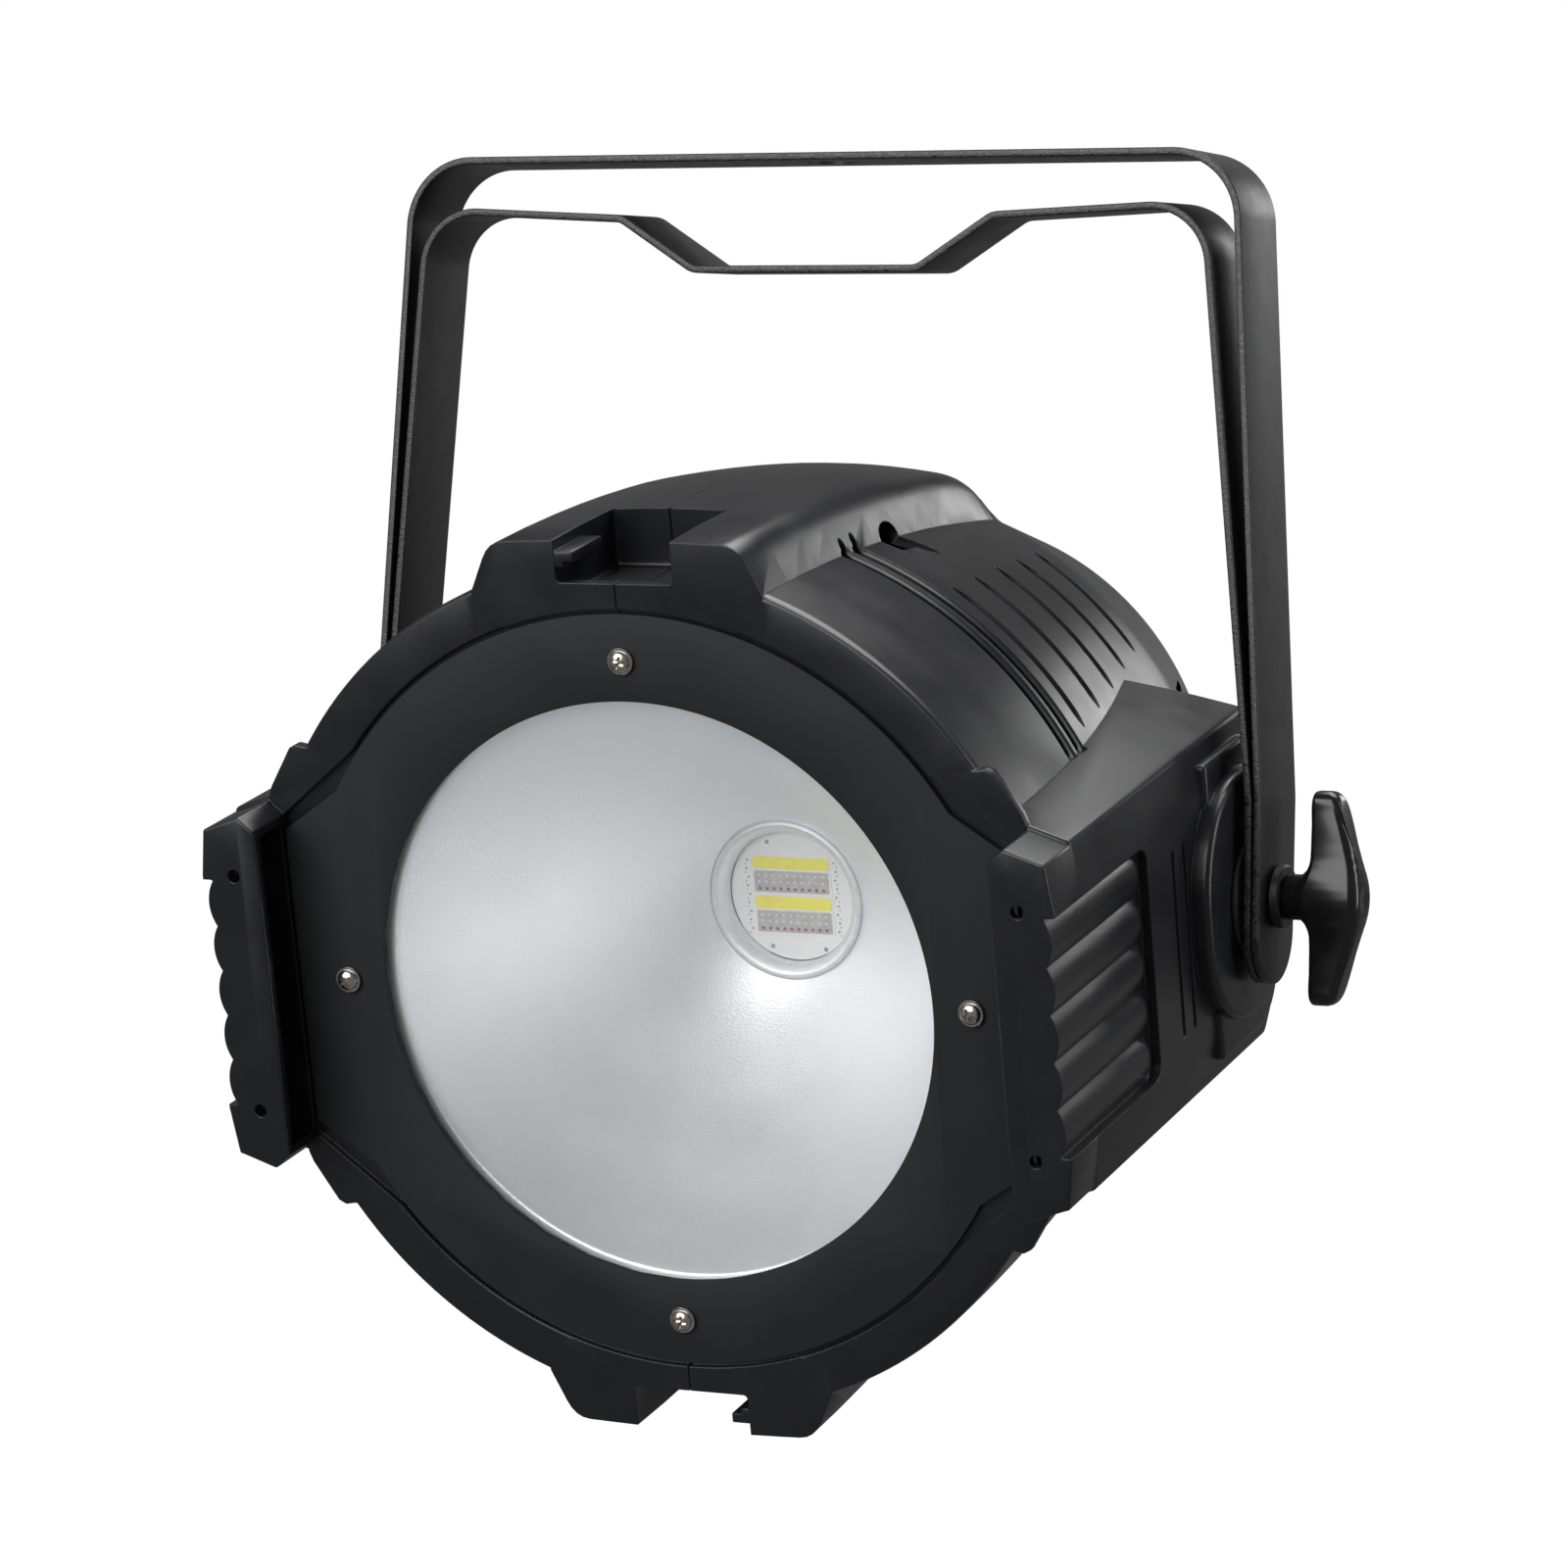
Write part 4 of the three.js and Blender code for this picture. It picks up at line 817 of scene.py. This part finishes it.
LED_MATERIALS = [CERAMIC, PHOSPHOR, GEL, CHIP, RED_CHIP, PAD]
head_piece(led_board(), "led_array", LED_MATERIALS, "cob_led")


# ------------------------------------------------------------------ yokes
STRIP = 2.5


def rounded_line(corners):
    """A line through (x, z, radius) corners, each rounded to its radius."""
    line = [Vector(corners[0][:2])]
    for before, (x, z, r), after in zip(corners, corners[1:], corners[2:]):
        p = Vector((x, z))
        a = (Vector(before[:2]) - p).normalized()
        b = (Vector(after[:2]) - p).normalized()
        turn = a.angle(b)
        reach = r / math.tan(turn / 2)
        centre = p + (a + b).normalized() * (r / math.sin(turn / 2))
        start, end = p + a * reach - centre, p + b * reach - centre
        steps = max(6, round(math.degrees(math.pi - turn) / 4))
        sweep = start.angle_signed(end)
        for k in range(steps + 1):
            line.append(centre + Matrix.Rotation(-sweep * k / steps, 2) @ start)
    line.append(Vector(corners[-1][:2]))
    return line


def strip_section(half_width):
    """Cross-section of the bar, with its corners rounded."""
    r = 0.45
    return rounded_rect(0, 0, max(half_width, r + 0.05), STRIP / 2, r, 3)


def bent_strip(line, width):
    """A flat bar along a line in X and Z, with half-round ends."""
    half = width / 2
    points = []
    for i, (a, b) in enumerate(zip(line, line[1:])):
        first, last = i == 0, i == len(line) - 2
        if not (first or last):
            points.append((a, half))
            continue
        tip, inner = (a, b) if first else (b, a)
        run = (inner - tip).normalized()
        ends = [(tip + run * half * (1 - math.cos(t)), max(half * math.sin(t), 0.5))
                for t in np.radians(np.linspace(4, 90, 22))]
        points += ends if first else [(a, half), *reversed(ends)]
    sections = []
    for i, (p, reach) in enumerate(points):
        before = points[max(i - 1, 0)][0]
        after = points[min(i + 1, len(points) - 1)][0]
        along = (after - before).normalized()
        across = Vector((-along.y, along.x))
        sections.append([(p.x + across.x * v, u, p.y + across.y * v) for u, v in strip_section(reach)])
    return loft(sections)


def yoke(line, width, top, name, matrix, body, node):
    """A bent bar with its clamp hole at the height top, and bare cut edges."""
    strip = bent_strip(line, width)
    hole = move(rod_y(8, -6, 6, steps=48), 0, 0, top, Matrix.Rotation(math.pi / 2, 4, "X"))
    strip = combine(strip, "DIFFERENCE", [hole])
    paint_part(strip, 1, lambda centre, normal: abs(normal.y) > 0.6)
    place_piece(strip, name, matrix, body, [PAINT, EDGE], node)


def both_sides(right_side):
    """The corners of the right side, then their mirror images."""
    return right_side + [(-x, *rest) for x, *rest in reversed(right_side)]


LEG_END = -28.7
outer_line = rounded_line(both_sides([
    (162.25, LEG_END, 0), (162.25, 32, 60), (150.25, PIVOT_DROP - STRIP / 2, 23),
]))
yoke(outer_line, 34, PIVOT_DROP - STRIP / 2, "outer_yoke_bar", OUTER, "outer_yoke", "outer_yoke")
DIP = 205.7 - STRIP / 2
SHOULDER = 226.5 - STRIP / 2
inner_line = rounded_line(both_sides([
    (159.05, LEG_END, 0), (159.05, 32, 60), (141.75, SHOULDER, 20), (68, SHOULDER - 3.5, 8), (41, DIP, 8),
]))
yoke(inner_line, 32, DIP, "inner_yoke_bar", INNER, "inner_yoke", "inner_yoke")


# ------------------------------------------------------------------ clamp knobs and tilt hardware
LEG_X = 163.5  # outer face of the outer yoke's leg
WING_REACH = 35
WING_BACK = 13
KNOB_APEX = 30.6
HUB_R = 7.5
HUB_START = 4.2


def wing_outline():
    """Outline of the grip in Y and Z: an upright bar with round ends across a round middle."""
    quarter = [(8.4, 0), (8.3, 3), (7.8, 6.2), (6.9, 9.2), (6.1, 13), (5.7, 18), (5.5, 24), (5.3, 29)]
    for a in np.radians(range(0, 91, 10)):
        quarter.append((1.4 + 3.9 * math.cos(a), WING_REACH - 4 + 4 * math.sin(a)))
    loose = []
    for (a, b), (c, d) in zip(quarter, quarter[1:]):
        steps = max(1, round(math.hypot(c - a, d - b) / 1.2))
        loose += [(a + (c - a) * k / steps, b + (d - b) * k / steps) for k in range(steps)]
    loose.append(quarter[-1])
    upper = loose + [(-y, z) for y, z in reversed(loose)]
    return upper + [(-y, -z) for y, z in upper]


def knob():
    """Two-winged grip along +X: a low cone in front, flat behind, and filleted to its hub."""
    outline = wing_outline()
    count = len(outline)
    rim, inner_rows, rim_rows = 3.2, 16, 7
    vertices = []

    def front(r):
        slope = KNOB_APEX - 0.3 * max(0.0, r - 5)
        dimple = 0.9 * math.exp(-((r / 3.2) ** 2))
        return slope - 0.25 * math.exp(-((r - 5) ** 2) / 8) - dimple

    def rear(r):
        return WING_BACK - 4 * max(0.0, 1 - (r - HUB_R) / 7) ** 2.4

    reach = []
    for k in range(count):
        before, after = Vector(outline[k - 1]), Vector(outline[(k + 1) % count])
        along = (after - before).normalized()
        reach.append(abs(Vector(outline[k]).dot(Vector((along.y, -along.x)))))
    rows = [(t, None) for t in np.linspace(0, 1, inner_rows)]
    rows += [(1, a) for a in np.radians(np.linspace(0, 90, rim_rows + 1))[1:]]
    for side, surface, r_edge in ((1, front, rim), (-1, rear, 1.6)):
        ordered = rows if side > 0 else rows[::-1]
        for t, angle in ordered:
            for (y, z), h in zip(outline, reach):
                start = 1 - r_edge / h
                share = t * start if angle is None else 1 - r_edge * (1 - math.sin(angle)) / h
                drop = 0 if angle is None else r_edge * (1 - math.cos(angle))
                x = surface(share * math.hypot(y, z)) - side * drop
                vertices.append((LEG_X + x, share * y, share * z))
    faces = []
    for row in range(len(vertices) // count - 1):
        for k in range(count):
            n = (k + 1) % count
            faces.append((row * count + k, row * count + n, (row + 1) * count + n, (row + 1) * count + k))
    grip = new_object("knob", vertices, faces)
    chamfer = [(HUB_R - 0.5, HUB_START), (HUB_R, HUB_START + 0.5)]
    hub = lathe([(0, HUB_START), *chamfer, (HUB_R, 16), (0, 16)], 64)
    return join(grip, [move(hub, LEG_X, turn=Y_TO_X)])


for side, matrix in (("right", TILT), ("left", TILT @ HALF_TURN_Z)):
    clamp = side + "_clamp"
    upright = Matrix.Rotation(math.radians(HEAD_TILT if side == "left" else -HEAD_TILT), 4, "X")
    place_piece(knob(), side + "_grip", matrix @ upright, clamp, [KNOB], side + "_knob",
                smooth=60)
    bush = rod_x(10.4, LEG_X + 0.5, LEG_X + HUB_START - GAP, edge=0.6, steps=56)
    place_piece(bush, side + "_bush", matrix, clamp, [NYLON], side + "_knob_bush")
    stud = rod_x(4, 132, LEG_X + 20, edge=0.5)
    place_piece(stud, side + "_stud", matrix, clamp, [STEEL], side + "_knob_stud")
    washer = rod_x(20, 155.3, 156.6, edge=0.2, steps=72)
    place_piece(washer, side + "_washer", matrix, "head", [RUBBER], side + "_friction_washer")


# ------------------------------------------------------------------ rear panel
BUTTON_Z = 46
BUTTONS = {name: 14 * (i - 1.5) for i, name in enumerate(["menu", "down", "up", "enter"])}
SOCKETS = {
    "power_inlet": (-62, 8), "power_outlet": (62, 8), "dmx_input": (-34, -52), "dmx_output": (34, -52),
}
FUSE = (62, -24)
EYELET_Z = -62
WINDOW_Z = 66
PANEL_R = 88.5
THROUGH = (250, 265)  # from inside the panel to outside it


def rear_panel():
    """Round panel with its openings, and turned grooves inside its rim and round the fan guard."""
    panel = rod_y(PANEL_R, PANEL_BACK - 2.5, PANEL_BACK, steps=200, edge=0.4)
    cuts = [rod_y(31, *THROUGH, steps=96), rod_y(6.3, *THROUGH, *FUSE), rod_y(3.2, *THROUGH, 0, EYELET_Z)]
    cuts += [rod_y(4.2, *THROUGH, x, BUTTON_Z) for x in BUTTONS.values()]
    cuts += [rod_y(12.7, *THROUGH, x, z) for x, z in SOCKETS.values()]
    cuts.append(prism(rounded_rect(0, WINDOW_Z, 21, 8.5, 1.5), "Y", *THROUGH))
    floor, above = PANEL_BACK - 0.5, PANEL_BACK + 1
    for r in (37.5, 85.5):
        cuts.append(lathe([(r, floor), (r + 1.2, floor), (r + 1.2, above), (r, above)], 120))
    return bevel(combine(panel, "DIFFERENCE", cuts), 0.2, 2, 50)


head_piece(rear_panel(), "panel", [PAINT], "rear_panel")


def torus(r, tube, y, steps=96):
    """A wire ring round Y."""
    angles = np.radians(range(0, 360, 30))
    return lathe([(r + tube * math.cos(a), y + tube * math.sin(a)) for a in angles], steps)


def fan_guard():
    """Four wire rings and four wires across them, with a disc in the middle."""
    y = PANEL_BACK + GAP + 1
    outer_r, wire = 34, 0.9
    guard = torus(outer_r, 1, y)
    parts = [torus(r, wire, y) for r in (10, 18, 26)]
    for i in range(4):
        turn = Matrix.Rotation(math.pi / 8 + i * math.pi / 4, 4, "Y")
        parts.append(move(rod_x(wire, -outer_r, outer_r, steps=12), 0, y, 0, turn))
    return join(guard, parts + [rod_y(4, y - 0.8, y + 0.8, steps=40, edge=0.3)])


head_piece(fan_guard(), "guard", [STEEL], "fan_guard")


def socket(cup_r, with_pins):
    """Panel socket: a flange, then pins in a keyed cup, or holes in a flat face."""
    y = PANEL_BACK + GAP
    body = bevel(prism(rounded_rect(0, 0, 13, 15.5, 3), "Y", y, y + 2), 0.5, 3)
    body = combine(body, "UNION", [rod_y(11.8, y - 24, y + 3, steps=64, edge=0.4)])
    angles = [math.pi / 2, math.pi, 3 * math.pi / 2]
    places = [(4.2 * math.sin(a), 4.2 * math.cos(a)) for a in angles]
    if with_pins:
        cuts = [rod_y(cup_r, y - 10, y + 6, steps=64), box(-1.6, 1.6, y - 10, y + 6, cup_r - 1, cup_r + 1.4)]
    else:
        cuts = [rod_y(1.3, y - 8, y + 6, x, z) for x, z in places]
        cuts.append(lathe([(8.4, y + 2.2), (9.2, y + 2.2), (9.2, y + 4), (8.4, y + 4)], 64))
    body = combine(body, "DIFFERENCE", cuts)
    for x, z in ((9.8, 12.6), (-9.8, -12.6)):
        head = move(pan_screw(1.9, 1.1, 1), x, y + 1.9, z, Matrix.Rotation(math.pi, 4, "X"))
        join(body, [paint_all(head, 1)])
    if with_pins:
        for x, z in places:
            join(body, [paint_all(rod_y(1.2, y - 10.5, y + 1, x, z, 20, 0.4), 1)])
    return body


for name, (x, z) in SOCKETS.items():
    piece = socket(8.4 if "dmx" in name else 9.2, name != "dmx_output")
    head_piece(move(piece, x, 0, z), name + "_socket", [NYLON, STEEL], name)


def fuse_cap():
    """Round cap with a grooved grip and a driver slot."""
    y = PANEL_BACK
    profile = [(0, 238), (6, 238), (6, y + 0.3), (7.5, y + 0.3), (7.5, y + 7.2), (6.9, y + 8), (0, y + 8)]
    grips = []
    for a in np.radians(range(0, 360, 20)):
        grips.append(rod_y(0.6, y + 2, y + 9, 7.7 * math.cos(a), 7.7 * math.sin(a), 12))
    slot = box(-4.5, 4.5, y + 6.6, y + 9, -0.6, 0.6)
    return move(combine(lathe(profile, 64), "DIFFERENCE", grips + [slot]), FUSE[0], 0, FUSE[1])


head_piece(fuse_cap(), "fuse_cap", [NYLON], "fuse_holder")


def eyelet():
    """Loop for a safety cable, on a stepped foot."""
    y = PANEL_BACK + GAP
    loop = move(torus(8.5, 2.2, 0, 72), turn=Matrix.Rotation(math.pi / 2, 4, "Z"))
    move(loop, 0, y + 13, EYELET_Z)
    foot = [(0, 240), (3, 240), (3, y), (5.5, y), (5.5, y + 2.8), (4.2, y + 3.5), (2.6, y + 5), (0, y + 5)]
    return combine(loop, "UNION", [move(lathe(foot, 48), 0, 0, EYELET_Z)])


head_piece(eyelet(), "eyelet", [STEEL], "safety_eyelet", smooth=45)


def display():
    """Dark window over a four-digit segment display."""
    pane = bevel(prism(rounded_rect(0, WINDOW_Z, 20.7, 8.2, 1.3), "Y", 249, PANEL_BACK - 0.5), 0.3, 2)
    y = PANEL_BACK - 0.52
    z = WINDOW_Z
    for digit in range(4):
        x = 9.4 * (digit - 1.5)
        bars = [(x - 2.2, x + 2.2, z + dz - 0.5, z + dz + 0.5) for dz in (-5.2, 0, 5.2)]
        for dx in (-3, 3):
            bars += [(x + dx - 0.5, x + dx + 0.5, z + dz, z + dz + 4) for dz in (-4.6, 0.6)]
        for x0, x1, z0, z1 in bars:
            join(pane, [paint_all(box(x0, x1, y, y + 0.06, z0, z1), 1)])
    return pane


head_piece(display(), "display", [DISPLAY, LIT], "display_window")

for name, x in BUTTONS.items():
    top = PANEL_BACK + 2.2
    cap = [(0, 252.2), (4.8, 252.2), (4.8, 254), (3.6, 254), (3.6, top - 0.7), (3.3, top - 0.2), (2.7, top)]
    cap += [(1.4, top - 0.25), (0, top - 0.35)]
    button = move(lathe(cap, 48), x, 0, BUTTON_Z)
    place_piece(button, f"{name}_cap", HEAD, f"button_{name}", [NYLON], f"button_{name}")

for i in range(4):
    angle = math.pi / 4 + i * math.pi / 2
    screw = pan_screw(3.2, 2.1, 11)
    move(screw, turn=Matrix.Rotation(math.pi, 4, "X") @ Matrix.Rotation(0.4 + i, 4, "Y"))
    move(screw, 82 * math.sin(angle), PANEL_BACK + 0.3, 82 * math.cos(angle))
    head_piece(screw, f"panel_screw_{i + 1}", [NICKEL], f"rear_screw_{i + 1}")


# ------------------------------------------------------------------ fan
FAN_Y = 190.6
FAN_DEPTH = 25
BLADE_ROOT = 17.5
BLADE_LENGTH = 26


def fan_frame():
    """Square frame with a round duct, and four arms that carry the motor."""
    back = FAN_Y + FAN_DEPTH
    body = bevel(prism(rounded_rect(0, 0, 46, 46, 5), "Y", FAN_Y, back), 0.5, 2)
    cuts = [rod_y(45.2, FAN_Y - 1, back + 1, steps=120)]
    cuts += [rod_y(2.2, FAN_Y - 1, back + 1, sx * 41, sz * 41) for sx in (-1, 1) for sz in (-1, 1)]
    body = combine(body, "DIFFERENCE", cuts)
    arms = []
    for i in range(4):
        turn = Matrix.Rotation(math.pi / 4 + i * math.pi / 2, 4, "Y")
        arms.append(move(box(12, 47, back - 2.5, back, -2, 2), turn=turn))
    return combine(body, "UNION", arms + [rod_y(18, back - 2.5, back, steps=64, edge=0.4)])


def fan_blade(turn, middle):
    """One swept and twisted blade, turned round Y by turn, at the depth middle."""
    thin_outline = [(-1, -0.3), (-0.4, 0.9), (0.3, 1.0), (1, 0.1), (0.3, -0.2), (-0.4, -0.5)]
    sections = []
    for k in range(9):
        r = BLADE_ROOT + BLADE_LENGTH * k / 8
        sweep = 0.25 * (k / 8) ** 2
        pitch = math.radians(52 - 22 * k / 8)
        chord = 9 + 2.2 * k / 8
        section = []
        for s, t in thin_outline:
            along = s * chord * math.cos(pitch) - t * math.sin(pitch)
            up = s * chord * math.sin(pitch) + t * math.cos(pitch)
            angle = along / r + sweep + turn
            section.append((r * math.sin(angle), middle + max(min(up, 9.2), -9.2), r * math.cos(angle)))
        sections.append(section)
    return loft(sections)


def fan_rotor():
    """Seven blades round a hub."""
    front, back = FAN_Y + 2, FAN_Y + 21.5
    hub = rod_y(19, front, back, steps=80, edge=1.0)
    blades = [fan_blade(2 * math.pi * i / 7, (front + back) / 2) for i in range(7)]
    return combine(hub, "UNION", blades)


head_piece(fan_frame(), "fan_housing", [NYLON], "fan_frame")
place_piece(fan_rotor(), "fan_wheel", HEAD, "fan", [NYLON], "fan_rotor")

# ------------------------------------------------------------------ pieces that keep their CAD shape
KEPT = {
    "lens_gasket": RUBBER, "heat_sink": DARK_ALUMINIUM, "carrier": STEEL, "power_board": BOARD,
    "control_board": BOARD, "display_board": BOARD, "right_pivot_insert": STEEL, "left_pivot_insert": STEEL,
}
for name, material in KEPT.items():
    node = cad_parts[name]
    if not node.material_slots:
        node.data.materials.append(material)
    for entry in node.material_slots:
        entry.material = material


# ------------------------------------------------------------------ stage
LIT_POINT = Vector((0, 0, -0.23))


def softbox(name, place, size, power):
    """A white rectangular light aimed at the middle of the object."""
    data = bpy.data.lights.new(name, "AREA")
    data.shape = "RECTANGLE"
    data.size, data.size_y = size
    data.energy = power
    light = bpy.data.objects.new(name, data)
    light.location = place
    aim = LIT_POINT - Vector(place)
    light.rotation_euler = aim.to_track_quat("-Z", "Y").to_euler()
    bpy.context.scene.collection.objects.link(light)


def make_floor():
    """A wide pale floor, far below, that throws no light on the object."""
    half, depth = 40, -1.5
    corners = [(-half, -half, depth), (half, -half, depth), (half, half, depth), (-half, half, depth)]
    floor = new_object("floor", corners, [(0, 1, 2, 3)])
    material = bpy.data.materials.new("pale_floor")
    material.use_nodes = True
    shader = material.node_tree.nodes["Principled BSDF"]
    shader.inputs["Base Color"].default_value = (0.85, 0.85, 0.85, 1)
    shader.inputs["Roughness"].default_value = 0.9
    shader.inputs["Emission Color"].default_value = (1, 1, 1, 1)
    shader.inputs["Emission Strength"].default_value = 0.9
    floor.data.materials.append(material)
    floor.visible_diffuse = False
    floor.visible_glossy = False


def make_world():
    """White behind the object, and a dimmer white all round it."""
    world = bpy.data.worlds.new("studio")
    bpy.context.scene.world = world
    world.use_nodes = True
    nodes, links = world.node_tree.nodes, world.node_tree.links
    seen = nodes["Background"]
    seen.inputs["Color"].default_value = (1, 1, 1, 1)
    around = nodes.new("ShaderNodeBackground")
    around.inputs["Color"].default_value = (1, 1, 1, 1)
    around.inputs["Strength"].default_value = 0.17
    path = nodes.new("ShaderNodeLightPath")
    mix = nodes.new("ShaderNodeMixShader")
    links.new(path.outputs["Is Camera Ray"], mix.inputs["Fac"])
    links.new(around.outputs["Background"], mix.inputs[1])
    links.new(seen.outputs["Background"], mix.inputs[2])
    links.new(mix.outputs["Shader"], nodes["World Output"].inputs["Surface"])


make_floor()
make_world()
softbox("overhead", (0.2, 0.5, 1.5), (1.5, 1.2), 30)
softbox("front", (-1.0, -3.2, 0.9), (3.2, 2.6), 110)
softbox("side", (2.1, 0.5, 0.3), (0.5, 1.8), 16)
softbox("rear", (0.8, 2.3, 0.55), (0.9, 0.6), 7)
bpy.context.scene.view_settings.view_transform = "Standard"
